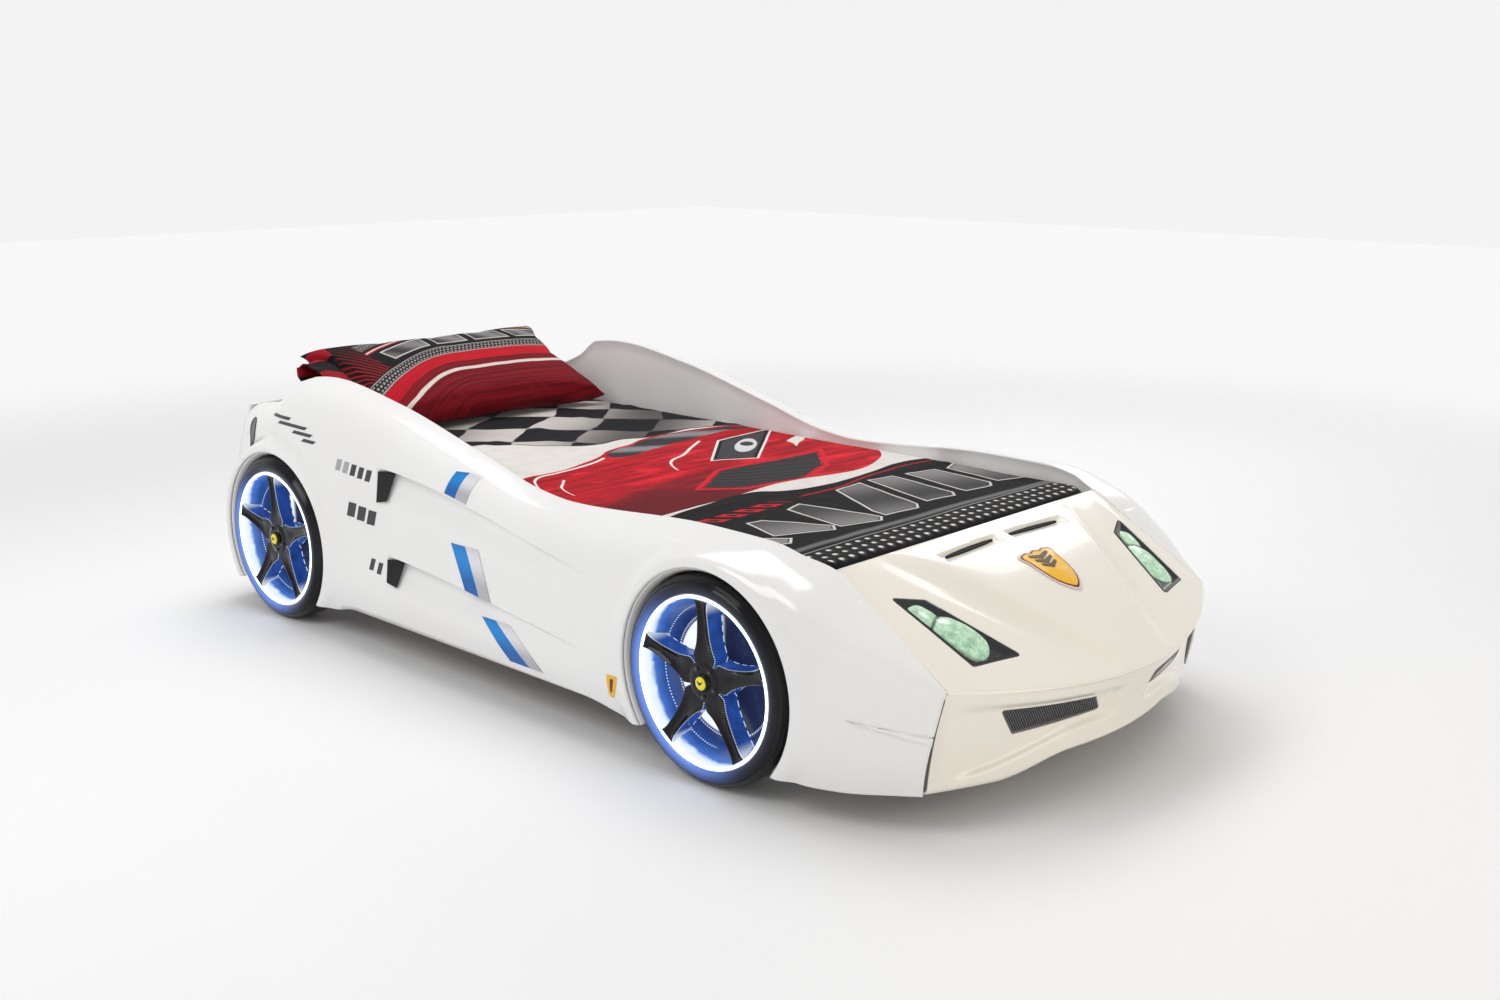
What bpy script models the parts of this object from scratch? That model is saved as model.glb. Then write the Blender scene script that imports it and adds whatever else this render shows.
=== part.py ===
"""Child's race-car bed: a moulded car body over a slatted wooden frame, with lit wheels.

The frame is in metres, +Z up, with the origin on the floor under the middle of the body.
The nose points along -Y, the pillow end along +Y, and the body is symmetric about X = 0.
"""
import bpy
import bmesh
import math
import numpy as np
from mathutils import Matrix

for old in list(bpy.data.objects):
    bpy.data.objects.remove(old, do_unlink=True)

# ---------------------------------------------------------------- driving dimensions
GAP = 0.0004                # clearance between pieces that touch
FIT = 0.0010                # clearance round a piece that drops into a cut-out
PANEL_GAP = 0.0022          # seam between two body panels
SHEET = 0.004               # thickness of the moulded body sheet

MATTRESS_LENGTH = 1.90
MATTRESS_WIDTH = 0.90
MATTRESS_THICK = 0.143
WELL_CLEAR = 0.006          # mattress to well wall, sides
SIDE_DEPTH = 0.1265         # well wall to widest point of the sill
NOSE_LENGTH = 0.397         # well to tip of the nose
TAIL_DEPTH = 0.0315         # well to back of the tail

SLAT_TOP = 0.2805
RAIL_SEAM = 0.431           # rail height where the bonnet begins
RAIL_FENDER = 0.465         # rail height over the front wheel
RAIL_LOW = 0.443            # lowest point of the rail, where a child climbs in
RAIL_HUMP = 0.6055          # highest point of the rail, beside the pillow
RAIL_TAIL = 0.500           # rail height at the tail
BODY_BOTTOM = 0.090         # lower edge of the sides between the wheels
SKIRT_BOTTOM = 0.069        # lower edge of the sides beside the wheels and at the nose
SILL_HEIGHT = 0.160         # height at which the body is widest
NOSE_SEAM_HEIGHT = 0.270    # top of the upright seam beside the bumper
NOSE_TIP_HEIGHT = 0.242
LIP_CENTRE_HEIGHT = 0.100   # bumper's lower edge at the middle
LIP_SIDE_HEIGHT = 0.074     # bumper's lower edge at the sides
SEAM_INSET = 0.005          # the bumper's side seams stand in from the well's walls
CORNER_SETBACK = 0.134      # tip of the nose to the side seams

WHEEL_RADIUS = 0.203
ARCH_CLEAR = 0.012          # tyre to wheel arch
FRONT_HUB_SETBACK = 0.198   # well front to front wheel centre
REAR_HUB_SETBACK = 0.2225   # well back to rear wheel centre
TYRE_WALL = 0.037           # tread to the ring of lamps
LED_WIDTH = 0.0055
RIM_SETBACK = 0.006         # the rim stands in from the lamps
RIM_RING = 0.010
SPOKE_COUNT = 5
HUB_RADIUS = 0.036
CAP_RADIUS = 0.0125
PAN_SHEET = 0.004

BOARD_THICK = 0.022
BOARD_BOTTOM = 0.165
BOARD_TOP = 0.380
CLEAT_WIDTH = 0.035
CLEAT_HEIGHT = 0.027
SLAT_COUNT = 9
SLAT_WIDTH = 0.070
SLAT_THICK = 0.018
BEAM_WIDTH = 0.040
BEAM_HEIGHT = 0.047
END_BOARD_TOP = 0.283
END_NOTCH_HALF = 0.260
END_FOOT_OUTER = 0.360        # the feet stand well in from the sides, out of sight
END_NOTCH_TOP = 0.125

SCOOP_DEPTH = 0.034         # how deep the side scoops are at their grilles
SCOOP_WALL = 0.042          # length of the wall that closes a scoop
TAIL_LEAN = 0.020           # how far the tail's top leans forward
BEDSPREAD_THICK = 0.012
PILLOW_SIZE = (MATTRESS_WIDTH - 0.12, 0.36, 0.088)
PILLOW_TILT = math.radians(26)

BOX_SIZE = (0.110, 0.042, 0.070)
BOX_PLACE = (0.300, 0.150)  # lamp control box: X of its middle, Z of its underside
ROCKER_SIZE = (0.028, 0.010, 0.020)

# ---------------------------------------------------------------- derived places
WELL_HALF = MATTRESS_WIDTH / 2 + WELL_CLEAR
BODY_HALF = WELL_HALF + SIDE_DEPTH
SEAM_WIDTH = WELL_HALF - SEAM_INSET
LED_RADIUS = WHEEL_RADIUS - TYRE_WALL
RIM_RADIUS = LED_RADIUS - RIM_SETBACK
BODY_LENGTH = NOSE_LENGTH + MATTRESS_LENGTH + WELL_CLEAR + TAIL_DEPTH
NOSE_Y = -BODY_LENGTH / 2
TAIL_Y = BODY_LENGTH / 2
OPEN_Y = NOSE_Y + NOSE_LENGTH
CORNER_Y = NOSE_Y + CORNER_SETBACK
HEAD_Y = TAIL_Y - TAIL_DEPTH
FRONT_HUB_Y = OPEN_Y + FRONT_HUB_SETBACK
REAR_HUB_Y = HEAD_Y - REAR_HUB_SETBACK
HUB_Z = WHEEL_RADIUS
ARCH_RADIUS = WHEEL_RADIUS + ARCH_CLEAR
SIDE_END_Y = TAIL_Y - 0.012
SKIRT_Z = SLAT_TOP + 0.0045
BOARD_IN = WELL_HALF + SHEET + GAP
BOARD_OUT = BOARD_IN + BOARD_THICK
WHEEL_FACE = BODY_HALF - 0.003
PAN_X = BOARD_OUT + 0.010
MATTRESS_TOP = SLAT_TOP + GAP + MATTRESS_THICK
SCOOP_Y = REAR_HUB_Y - 0.437            # rear end of the upper side scoops
LOWER_SCOOP_Y = SCOOP_Y - 0.045         # rear end of the lower side scoops
SCOOP_FRONT_Y = FRONT_HUB_Y + 0.305     # where the scoops fade into the side
SIDES = (("left", -1.0), ("right", 1.0))
WHEELS = [(end + "_" + side, sign, hub)
          for end, hub in (("front", FRONT_HUB_Y), ("rear", REAR_HUB_Y))
          for side, sign in SIDES]


# ---------------------------------------------------------------- helpers
def material(name, colour, roughness, metallic=0.0):
    """A Principled material with one colour."""
    mat = bpy.data.materials.new(name)
    mat.use_nodes = True
    shader = mat.node_tree.nodes["Principled BSDF"]
    shader.inputs["Base Color"].default_value = (*colour, 1.0)
    shader.inputs["Roughness"].default_value = roughness
    shader.inputs["Metallic"].default_value = metallic
    return mat


WHITE = material("white_gloss_plastic", (0.86, 0.85, 0.82), 0.18)
BLACK = material("black_gloss_plastic", (0.012, 0.012, 0.014), 0.15)
DARK = material("dark_mesh_plastic", (0.03, 0.03, 0.03), 0.5)
BLUE = material("blue_lit_plastic", (0.03, 0.10, 0.42), 0.3)
LIGHT = material("lit_white_diffuser", (0.85, 0.92, 1.0), 0.4)
LENS = material("green_white_lens", (0.55, 0.72, 0.58), 0.1)
YELLOW = material("yellow_badge", (0.78, 0.46, 0.03), 0.3)
WOOD = material("pine", (0.62, 0.44, 0.26), 0.6)
BOARD = material("dark_board", (0.10, 0.09, 0.085), 0.6)
COTTON = material("mattress_cotton", (0.80, 0.79, 0.76), 0.9)
PRINT = material("printed_cotton", (0.45, 0.02, 0.03), 0.85)


def add_object(name, verts, faces, mat, smooth=None):
    """One named mesh object, its faces turned outwards; smooth is a sharp-edge angle."""
    mesh = bpy.data.meshes.new(name)
    mesh.from_pydata([tuple(map(float, v)) for v in verts], [], [tuple(map(int, f)) for f in faces])
    bm = bmesh.new()
    bm.from_mesh(mesh)
    bmesh.ops.remove_doubles(bm, verts=bm.verts, dist=1e-5)
    bmesh.ops.dissolve_degenerate(bm, edges=bm.edges, dist=1e-6)
    bmesh.ops.recalc_face_normals(bm, faces=bm.faces)
    bm.to_mesh(mesh)
    bm.free()
    mesh.materials.append(mat)
    if smooth:
        mesh.shade_smooth()
        mesh.set_sharp_from_angle(angle=math.radians(smooth))
    obj = bpy.data.objects.new(name, mesh)
    bpy.context.collection.objects.link(obj)
    return obj


def put_origin(obj, place):
    """Moves an object's origin to a point without moving its shape."""
    obj.data.transform(Matrix.Translation([-c for c in place]))
    obj.location = place


def box(name, low, high, mat):
    """A block between two corners."""
    xs, ys, zs = zip(low, high)
    verts = [(x, y, z) for x in xs for y in ys for z in zs]
    faces = [(0, 1, 3, 2), (4, 6, 7, 5), (0, 4, 5, 1), (2, 3, 7, 6), (0, 2, 6, 4), (1, 5, 7, 3)]
    return add_object(name, verts, faces, mat)


def loft(name, rings, mat, closed=False, smooth=None):
    """A closed body through rings with equal point counts: capped at both ends, or a loop."""
    rings = [np.asarray(r, float) for r in rings]
    count = len(rings[0])
    faces = []
    spans = len(rings) if closed else len(rings) - 1
    for i in range(spans):
        a, b = i * count, ((i + 1) % len(rings)) * count
        for j in range(count):
            k = (j + 1) % count
            faces.append((a + j, a + k, b + k, b + j))
    if not closed:
        faces.append(tuple(range(count)))
        faces.append(tuple(range((len(rings) - 1) * count, len(rings) * count)))
    return add_object(name, np.concatenate(rings), faces, mat, smooth)


def turned(name, profile, centre, sign, mat, segments=40, smooth=40, lowest=0.0):
    """A profile of (radius, outward X) points turned about the wheel axis, cut off at a floor."""
    angle = np.arange(segments) * 2 * math.pi / segments + math.pi / 2
    rings = []
    for radius, depth in profile:
        if radius == 0.0:
            rings.append(np.tile((sign * depth, centre[0], centre[1]), (segments, 1)))
            continue
        ring = np.stack([np.full(segments, sign * depth),
                         centre[0] + radius * np.cos(angle),
                         np.maximum(centre[1] + radius * np.sin(angle), lowest)], axis=1)
        rings.append(ring)
    loop = profile[0][0] > 0.0
    return loft(name, rings, mat, closed=loop, smooth=smooth)


def line(points, at):
    """A smooth line through (position, value) points: a cubic with no overshoot."""
    xs, ys = (np.array(c, float) for c in zip(*sorted(points)))
    step = np.diff(xs)
    slope = np.diff(ys) / step
    inner = np.where(slope[:-1] * slope[1:] > 0,
                     2 * slope[:-1] * slope[1:] / (slope[:-1] + slope[1:] + 1e-12), 0.0)
    tangent = np.concatenate([[slope[0]], inner, [slope[-1]]])
    at = np.clip(np.asarray(at, float), xs[0], xs[-1])
    i = np.clip(np.searchsorted(xs, at) - 1, 0, len(step) - 1)
    t = (at - xs[i]) / step[i]
    return ((2 * t**3 - 3 * t**2 + 1) * ys[i] + (t**3 - 2 * t**2 + t) * step[i] * tangent[i]
            + (3 * t**2 - 2 * t**3) * ys[i + 1] + (t**3 - t**2) * step[i] * tangent[i + 1])


def ease(value):
    """Smooth step from 0 to 1."""
    value = np.clip(value, 0.0, 1.0)
    return value * value * (3 - 2 * value)


def grid_faces(rows, cols, start):
    """Quads of a rows x cols grid of points numbered from start."""
    index = start + np.arange(rows * cols).reshape(rows, cols)
    quads = np.stack([index[:-1, :-1], index[:-1, 1:], index[1:, 1:], index[1:, :-1]], axis=-1)
    return quads.reshape(-1, 4)


def sheet_object(name, patches, mat):
    """Grids of points that share their borders, joined and thickened to the body sheet."""
    verts, faces, start = [], [], 0
    for patch in patches:
        rows, cols = patch.shape[:2]
        verts.append(patch.reshape(-1, 3))
        faces.append(grid_faces(rows, cols, start))
        start += rows * cols
    obj = add_object(name, np.concatenate(verts), np.concatenate(faces), mat, smooth=35)
    return obj


def thicken(obj, outward_test):
    """Gives a surface its sheet thickness on its inner side."""
    bm = bmesh.new()
    bm.from_mesh(obj.data)
    total = sum(outward_test(f.calc_center_median(), f.normal) * f.calc_area() for f in bm.faces)
    if total < 0:
        bmesh.ops.reverse_faces(bm, faces=bm.faces)
    bm.to_mesh(obj.data)
    bm.free()
    mod = obj.modifiers.new("sheet", "SOLIDIFY")
    mod.thickness = SHEET
    mod.offset = -1.0
    return obj


def block_between(name, front, back, mat):
    """A six-sided block from four front corners and four back corners."""
    return loft(name, [front, back], mat)


def cut(obj, cutter):
    """Cuts a hidden block out of an object."""
    cutter.hide_render = True
    cutter.display_type = "WIRE"
    mod = obj.modifiers.new("cut", "BOOLEAN")
    mod.operation = "DIFFERENCE"
    mod.solver = "EXACT"
    mod.object = cutter


# ---------------------------------------------------------------- body surface
def rail_height(y):
    """Height of the rail, and forward of the well of the seam beside the bonnet."""
    return line([(CORNER_Y, NOSE_SEAM_HEIGHT),
                 (OPEN_Y - 0.13, (NOSE_SEAM_HEIGHT + RAIL_SEAM) / 2 + 0.004),
                 (OPEN_Y, RAIL_SEAM),
                 (FRONT_HUB_Y - 0.06, RAIL_FENDER - 0.002),
                 (FRONT_HUB_Y + 0.09, RAIL_FENDER),
                 (FRONT_HUB_Y + 0.49, RAIL_LOW),
                 (FRONT_HUB_Y + 0.59, RAIL_LOW + 0.009),
                 (FRONT_HUB_Y + 0.79, RAIL_LOW + 0.36 * (RAIL_HUMP - RAIL_LOW)),
                 (REAR_HUB_Y - 0.39, RAIL_HUMP - 0.032),
                 (REAR_HUB_Y - 0.14, RAIL_HUMP),
                 (REAR_HUB_Y - 0.04, RAIL_HUMP - 0.008),
                 (REAR_HUB_Y + 0.04, RAIL_TAIL + 0.048),
                 (REAR_HUB_Y + 0.13, RAIL_TAIL + 0.015),
                 (TAIL_Y, RAIL_TAIL)], y)


def body_bottom(y):
    """Height of the lower edge of the sides: lower beside the wheels and at the nose."""
    return line([(CORNER_Y, SKIRT_BOTTOM + 0.006), (OPEN_Y, SKIRT_BOTTOM),
                 (FRONT_HUB_Y + 0.19, SKIRT_BOTTOM + 0.004), (FRONT_HUB_Y + 0.34, BODY_BOTTOM),
                 (REAR_HUB_Y - 0.34, BODY_BOTTOM), (REAR_HUB_Y - 0.22, SKIRT_BOTTOM),
                 (TAIL_Y, SKIRT_BOTTOM + 0.004)], y)


def tail_lean(y, z):
    """How far a point near the tail moves forward, because the tail's top leans in."""
    return TAIL_LEAN * ease((z - 0.38) / (RAIL_TAIL - 0.38)) * ease((y - HEAD_Y + 0.06) / 0.08)


def rail_inner(y):
    """Half width at the rail's inner edge: the well wall, then the bonnet seam."""
    return line([(CORNER_Y, SEAM_WIDTH), (OPEN_Y, WELL_HALF), (TAIL_Y, WELL_HALF)], y)


def sill_half(y):
    """Half width at the sill, narrowing round the corner of the nose and to the tail."""
    corner = CORNER_Y + 0.0585
    return line([(CORNER_Y, SEAM_WIDTH + 0.006), (corner, BODY_HALF - 0.083),
                 (OPEN_Y - 0.105, BODY_HALF - 0.022), (OPEN_Y - 0.03, BODY_HALF - 0.002),
                 (FRONT_HUB_Y, BODY_HALF), (REAR_HUB_Y, BODY_HALF),
                 (TAIL_Y, BODY_HALF - 0.022)], y)


def shoulder_half(y):
    """Half width where the shoulder has rolled down into the side."""
    return line([(CORNER_Y, SEAM_WIDTH + 0.004), (CORNER_Y + 0.0585, BODY_HALF - 0.088),
                 (OPEN_Y - 0.105, BODY_HALF - 0.032), (OPEN_Y, BODY_HALF - 0.014),
                 (FRONT_HUB_Y, BODY_HALF - 0.010), (FRONT_HUB_Y + 0.45, BODY_HALF - 0.030),
                 (REAR_HUB_Y - 0.35, BODY_HALF - 0.026), (REAR_HUB_Y, BODY_HALF - 0.036),
                 (TAIL_Y, BODY_HALF - 0.074)], y)


def shoulder_drop(y):
    """Height over which the shoulder rolls."""
    return line([(CORNER_Y, 0.030), (OPEN_Y - 0.08, 0.048), (FRONT_HUB_Y, 0.066),
                 (FRONT_HUB_Y + 0.45, 0.090), (REAR_HUB_Y - 0.2, 0.110), (TAIL_Y, 0.075)], y)


def crease_heights(y):
    """Heights of the two long creases along the side, upper and lower."""
    top = rail_height(y)
    upper = line([(CORNER_Y, 0.215), (FRONT_HUB_Y, 0.322), (SCOOP_FRONT_Y, 0.339),
                  (SCOOP_Y, 0.446), (TAIL_Y, 0.410)], y)
    lower = line([(CORNER_Y, 0.165), (FRONT_HUB_Y, 0.184), (SCOOP_FRONT_Y, 0.193),
                  (SCOOP_Y, 0.253), (TAIL_Y, 0.250)], y)
    upper = np.minimum(upper, top - 0.175 * (top - BODY_BOTTOM))
    return upper, np.minimum(lower, upper - 0.03)


def scoop_depth(y, end):
    """Depth of the side scoop that ends at a Y: a long ramp in, a short wall out."""
    ramp = np.clip((y - SCOOP_FRONT_Y) / (end - SCOOP_WALL - SCOOP_FRONT_Y), 0, 1)
    wall = np.clip((end - y) / SCOOP_WALL, 0, 1)
    return SCOOP_DEPTH * np.minimum(ramp, wall)


def scoop_section(below, height):
    """Share of the scoop's depth at a distance below its crease."""
    inward = np.clip(below / 0.006, 0, 1)
    outward = np.clip(1 - below / height, 0, 1)
    return np.where(below > 0, np.minimum(inward, 1) * outward, 0.0)


def side_half(y, z):
    """Half width of the side at height z: a rolled shoulder over a leaning side with scoops."""
    top, inner, drop = rail_height(y), rail_inner(y), shoulder_drop(y)
    outer, sill = shoulder_half(y), sill_half(y)
    rise = np.clip((z - (top - drop)) / drop, 0, 1)
    shoulder = inner + (outer - inner) * (1 - rise**2.3)**(1 / 2.3)
    lean = np.clip((top - drop - z) / np.maximum(top - drop - SILL_HEIGHT, 0.01), 0, 1)
    tuck = np.clip((SILL_HEIGHT - z) / (SILL_HEIGHT - SKIRT_BOTTOM), 0, 1)
    half = shoulder + (sill - outer) * lean - 0.016 * tuck**2
    for crease, height, end in zip(crease_heights(y), (0.085, 0.082), (SCOOP_Y, LOWER_SCOOP_Y)):
        half = half - scoop_depth(y, end) * scoop_section(crease - z, height)
    for hub in (FRONT_HUB_Y, REAR_HUB_Y):
        radius = np.hypot(y - hub, z - HUB_Z)
        flare = 1 - ease((radius - ARCH_RADIUS - 0.012) / 0.034)
        half = half + np.maximum(WHEEL_FACE - 0.001 - half, -0.01) * flare
    return half


def bonnet_front(x):
    """Y of the crease between bonnet and bumper."""
    return NOSE_Y + CORNER_SETBACK * (np.abs(x) / SEAM_WIDTH)**2


def bonnet_height(x, y):
    """Height of the bonnet, with its raised middle narrowing towards the nose."""
    front = bonnet_front(x)
    run = np.clip((OPEN_Y - y) / (OPEN_Y - front), 0, 1)
    tip = NOSE_TIP_HEIGHT + (NOSE_SEAM_HEIGHT - NOSE_TIP_HEIGHT) * (np.abs(x) / SEAM_WIDTH)**2
    low = run**1.12
    high = run**1.6
    edge = 0.280 - 0.56 * (OPEN_Y - 0.03 - y)
    middle = ease((edge + 0.022 - np.abs(x)) / 0.044)
    side = ease((np.abs(x) - SEAM_WIDTH + 0.06) / 0.05)
    share = low + (high - low) * middle + (run - low) * side
    groove = 0.005 * 4 * run * (1 - run) * np.exp(-((np.abs(x) - edge - 0.02) / 0.03)**2)
    return RAIL_SEAM + (tip - RAIL_SEAM) * share - groove


def bumper_lip(x):
    """Y and Z of the bumper's lower edge."""
    share = np.abs(x) / SEAM_WIDTH
    y = NOSE_Y + 0.044 + 0.120 * share**1.9
    z = LIP_CENTRE_HEIGHT + (LIP_SIDE_HEIGHT - LIP_CENTRE_HEIGHT) * ease((np.abs(x) - 0.16) / 0.17)
    return y, z


def bumper_y(x, z):
    """Y of the bumper face: it falls back quickly under the crease, then runs to the lip."""
    share = np.abs(x) / SEAM_WIDTH
    top = NOSE_TIP_HEIGHT + (NOSE_SEAM_HEIGHT - NOSE_TIP_HEIGHT) * share**2
    lip_y, lip_z = bumper_lip(x)
    down = np.clip((top - z) / (top - lip_z), 0, 1)
    front = bonnet_front(x)
    return front + (lip_y - front) * (1 - (1 - down)**1.8)


# ---------------------------------------------------------------- body panels
STAR = 0.270                # half length of the panel stretch meshed round a wheel


def row_heights(y):
    """Heights of the mesh rows at y: they follow the sill, the creases and the shoulder."""
    top = rail_height(y)
    upper, lower = crease_heights(y)
    roll = np.maximum(top - shoulder_drop(y), upper + 0.4 * (top - upper))
    sill = np.maximum(np.minimum(lower - 0.085, SILL_HEIGHT), body_bottom(y) + 0.012)
    return np.stack([body_bottom(y), sill, lower - 0.045, lower - 0.007, lower, (upper + lower) / 2,
                     upper - 0.040, upper - 0.007, upper, roll, top - 0.35 * (top - roll),
                     top - 0.08 * (top - roll), top])


def side_patches():
    """The outer side as grids in (y, z): plain stretches and two stars round the wheels."""
    def plain(stations):
        y = np.asarray(stations, float)
        z = row_heights(y)
        lean = 0.034 * np.clip((OPEN_Y - 0.09 - y) / 0.18, 0, 1)
        share = (z - z[0]) / (z[-1] - z[0])
        return y + lean * (1 - share), z

    def star(hub, low, high, tops):
        """Rays from the hub, from the arch out to the four borders of the stretch."""
        foot = math.sqrt(ARCH_RADIUS**2 - (HUB_Z - SKIRT_BOTTOM)**2) + 0.005
        bottom = [hub - foot, (hub - foot + low) / 2, (hub + foot + high) / 2, hub + foot]
        bottom = np.stack([bottom, body_bottom(np.array(bottom))], 1)
        left = row_heights(np.array([low]))[:, 0]
        right = row_heights(np.array([high]))[:, 0]
        border = [bottom[:2],
                  np.stack([np.full_like(left, low), left], 1),
                  np.stack([tops, rail_height(tops)], 1)[1:-1],
                  np.stack([np.full_like(right, high), right], 1)[::-1],
                  bottom[2:]]
        border = np.concatenate(border)
        away = border - (hub, HUB_Z)
        inner = (hub, HUB_Z) + away / np.linalg.norm(away, axis=1)[:, None] * ARCH_RADIUS
        shares = np.array([0.0, 0.3, 0.62, 1.0])[:, None, None]
        points = inner + (border - inner) * shares
        return points[..., 0], points[..., 1]

    front_low, front_high = FRONT_HUB_Y - STAR, FRONT_HUB_Y + STAR
    rear_low, rear_high = REAR_HUB_Y - STAR, SIDE_END_Y
    front_tops = np.linspace(front_low, front_high, 10)
    rear_tops = np.linspace(rear_low, rear_high, 10)
    nose = np.linspace(CORNER_Y, front_low, 6)
    middle = np.unique(np.concatenate([np.linspace(front_high, LOWER_SCOOP_Y - SCOOP_WALL, 9),
                                       [LOWER_SCOOP_Y, SCOOP_Y, rear_low]]))
    fields = [plain(nose), star(FRONT_HUB_Y, front_low, front_high, front_tops), plain(middle),
              star(REAR_HUB_Y, rear_low, rear_high, rear_tops)]
    tops = np.unique(np.concatenate([nose, front_tops, middle, rear_tops]).round(9))
    return fields, tops


def inner_wall(tops):
    """From the rail down the well wall; forward of the well only a narrow return."""
    top = rail_height(tops)
    start = side_half(tops, top)
    in_well = ease((tops - OPEN_Y + 0.0005) / 0.001)
    foot = (top - 0.016) + (SKIRT_Z - top + 0.016) * in_well
    wall = np.where(in_well > 0.5, rail_inner(tops), start - 0.001)
    rows = [np.stack([start, tops, top], 1),
            np.stack([wall, tops, top - 0.010], 1),
            np.stack([wall, tops, foot], 1)]
    return np.stack(rows)


def make_side(side, sign):
    """One moulded side: outer face with arches and scoops, rail, and the wall of the well."""
    fields, tops = side_patches()
    patches = [np.stack([side_half(y, z), y, z], -1) for y, z in fields]
    patches.append(inner_wall(tops))
    for patch in patches:
        patch[..., 1] -= tail_lean(patch[..., 1], patch[..., 2])
        patch[..., 0] *= sign
    obj = sheet_object("side_panel_" + side, patches, WHITE)

    def outward(centre, normal):
        return normal.x * sign if abs(centre.x) > BODY_HALF - 0.06 else 0.0

    return thicken(obj, outward)


def make_nose():
    """Bonnet, bumper and the front wall of the well, with cut-outs for lamps and grilles."""
    share = np.linspace(-1, 1, 27)
    runs = np.linspace(0, 1, 9)
    edge_x = SEAM_WIDTH
    rows = []
    for z in (SKIRT_Z, RAIL_SEAM - 0.008):
        x = share * (WELL_HALF - PANEL_GAP)
        rows.append(np.stack([x, np.full_like(x, OPEN_Y), np.full_like(x, z)], 1))
    for run in runs:
        half = rail_inner(OPEN_Y + (CORNER_Y - OPEN_Y) * run)
        x = share * (half - PANEL_GAP)
        y = OPEN_Y - 0.004 + (bonnet_front(x * edge_x / half) - OPEN_Y + 0.004) * run
        rows.append(np.stack([x, y, bonnet_height(x, y)], 1))
    for down in (0.12, 0.35, 0.6, 0.85, 1.0):
        x = share * (edge_x - PANEL_GAP + 0.006 * down)
        lip_y, lip_z = bumper_lip(x)
        top = rows[10][:, 2]
        z = top + (lip_z - top) * down
        rows.append(np.stack([x, bumper_y(x, z), z], 1))
    last = rows[-1]
    rows.append(last + (0.0, 0.016, 0.003))
    obj = sheet_object("nose_panel", [np.stack(rows)], WHITE)
    return thicken(obj, lambda centre, normal: normal.z if centre.z > NOSE_SEAM_HEIGHT else 0.0)


def make_tail():
    """The back of the body: well wall, top edge and a face that wraps the side panels' ends."""
    share = np.linspace(-1, 1, 13)
    wall_half = WELL_HALF - PANEL_GAP
    top = float(rail_height(HEAD_Y))
    rows = []
    for y, z in ((HEAD_Y, SKIRT_Z), (HEAD_Y, top - 0.012), (HEAD_Y + 0.004, top)):
        x = share * wall_half
        rows.append(np.stack([x, np.full_like(x, y), np.full_like(x, z)], 1))
    for z in (top - 0.004, top - 0.03, top - 0.08, 0.36, 0.27, 0.18, SKIRT_BOTTOM + 0.008):
        half = float(side_half(np.array(SIDE_END_Y), np.array(min(z, top - 0.02))))
        x = share * (half - PANEL_GAP)
        depth = TAIL_Y - SIDE_END_Y - PANEL_GAP - SHEET
        y = TAIL_Y - depth * np.abs(share)**14 - tail_lean(TAIL_Y, z)
        rows.append(np.stack([x, y, np.full_like(x, z)], 1))
    obj = sheet_object("tail_panel", [np.stack(rows)], WHITE)
    return thicken(obj, lambda centre, normal: normal.y if centre.y > SIDE_END_Y + 0.004 else 0.0)


# ---------------------------------------------------------------- lamps, grilles, badge
HEADLIGHT = ((SEAM_WIDTH - 0.061, -0.091), (SEAM_WIDTH - 0.126, -0.120),
             (SEAM_WIDTH - 0.195, -0.281), (SEAM_WIDTH - 0.085, -0.256))
FRONT_GRILLE = ((SEAM_WIDTH - 0.117, 0.213), (SEAM_WIDTH - 0.153, 0.160), (0.090, 0.163), (0.113, 0.193))


def scaled(outline, factor):
    """An outline drawn towards its middle."""
    outline = np.asarray(outline, float)
    centre = outline.mean(axis=0)
    return centre + (outline - centre) * factor


def offset_outline(outline, distance):
    """An outline grown on all sides by a distance, measured at its middle."""
    outline = np.asarray(outline, float)
    centre = outline.mean(axis=0)
    away = outline - centre
    return outline + away / np.linalg.norm(away, axis=1)[:, None] * distance


def make_headlight(side, sign, nose):
    """A four-sided black bezel sunk in the bonnet, and the lens inside it."""
    outline = np.array(HEADLIGHT) + (0, OPEN_Y)

    def level(points, rise):
        return np.stack([points[:, 0] * sign, points[:, 1],
                         bonnet_height(points[:, 0], points[:, 1]) + rise], 1)

    hole = offset_outline(outline, FIT + 0.001)
    cutter = block_between("headlight_cut_" + side, level(hole, 0.05), level(hole, -0.05), BLACK)
    cut(nose, cutter)
    window = scaled(outline, 0.80)
    rings = [level(outline, 0.0015), level(outline, -0.024), level(window, -0.024),
             level(window, 0.0005)]
    loft("headlight_bezel_" + side, rings, BLACK, closed=True)
    glass = offset_outline(window, -FIT)
    block_between("headlight_lens_" + side, level(glass, -0.002), level(glass, -0.014), LENS)


def make_front_grille(side, sign, nose):
    """A ribbed grille set back in an opening of the bumper."""
    outline = np.array(FRONT_GRILLE)

    def place(points, back):
        return np.stack([points[:, 0] * sign, bumper_y(points[:, 0], points[:, 1]) + back,
                         points[:, 1]], 1)

    hole = offset_outline(outline, FIT + 0.001)
    cutter = block_between("front_grille_cut_" + side, place(hole, -0.03), place(hole, 0.03), DARK)
    cut(nose, cutter)
    block_between("front_grille_" + side, place(outline, 0.006), place(outline, 0.018), DARK)


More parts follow.
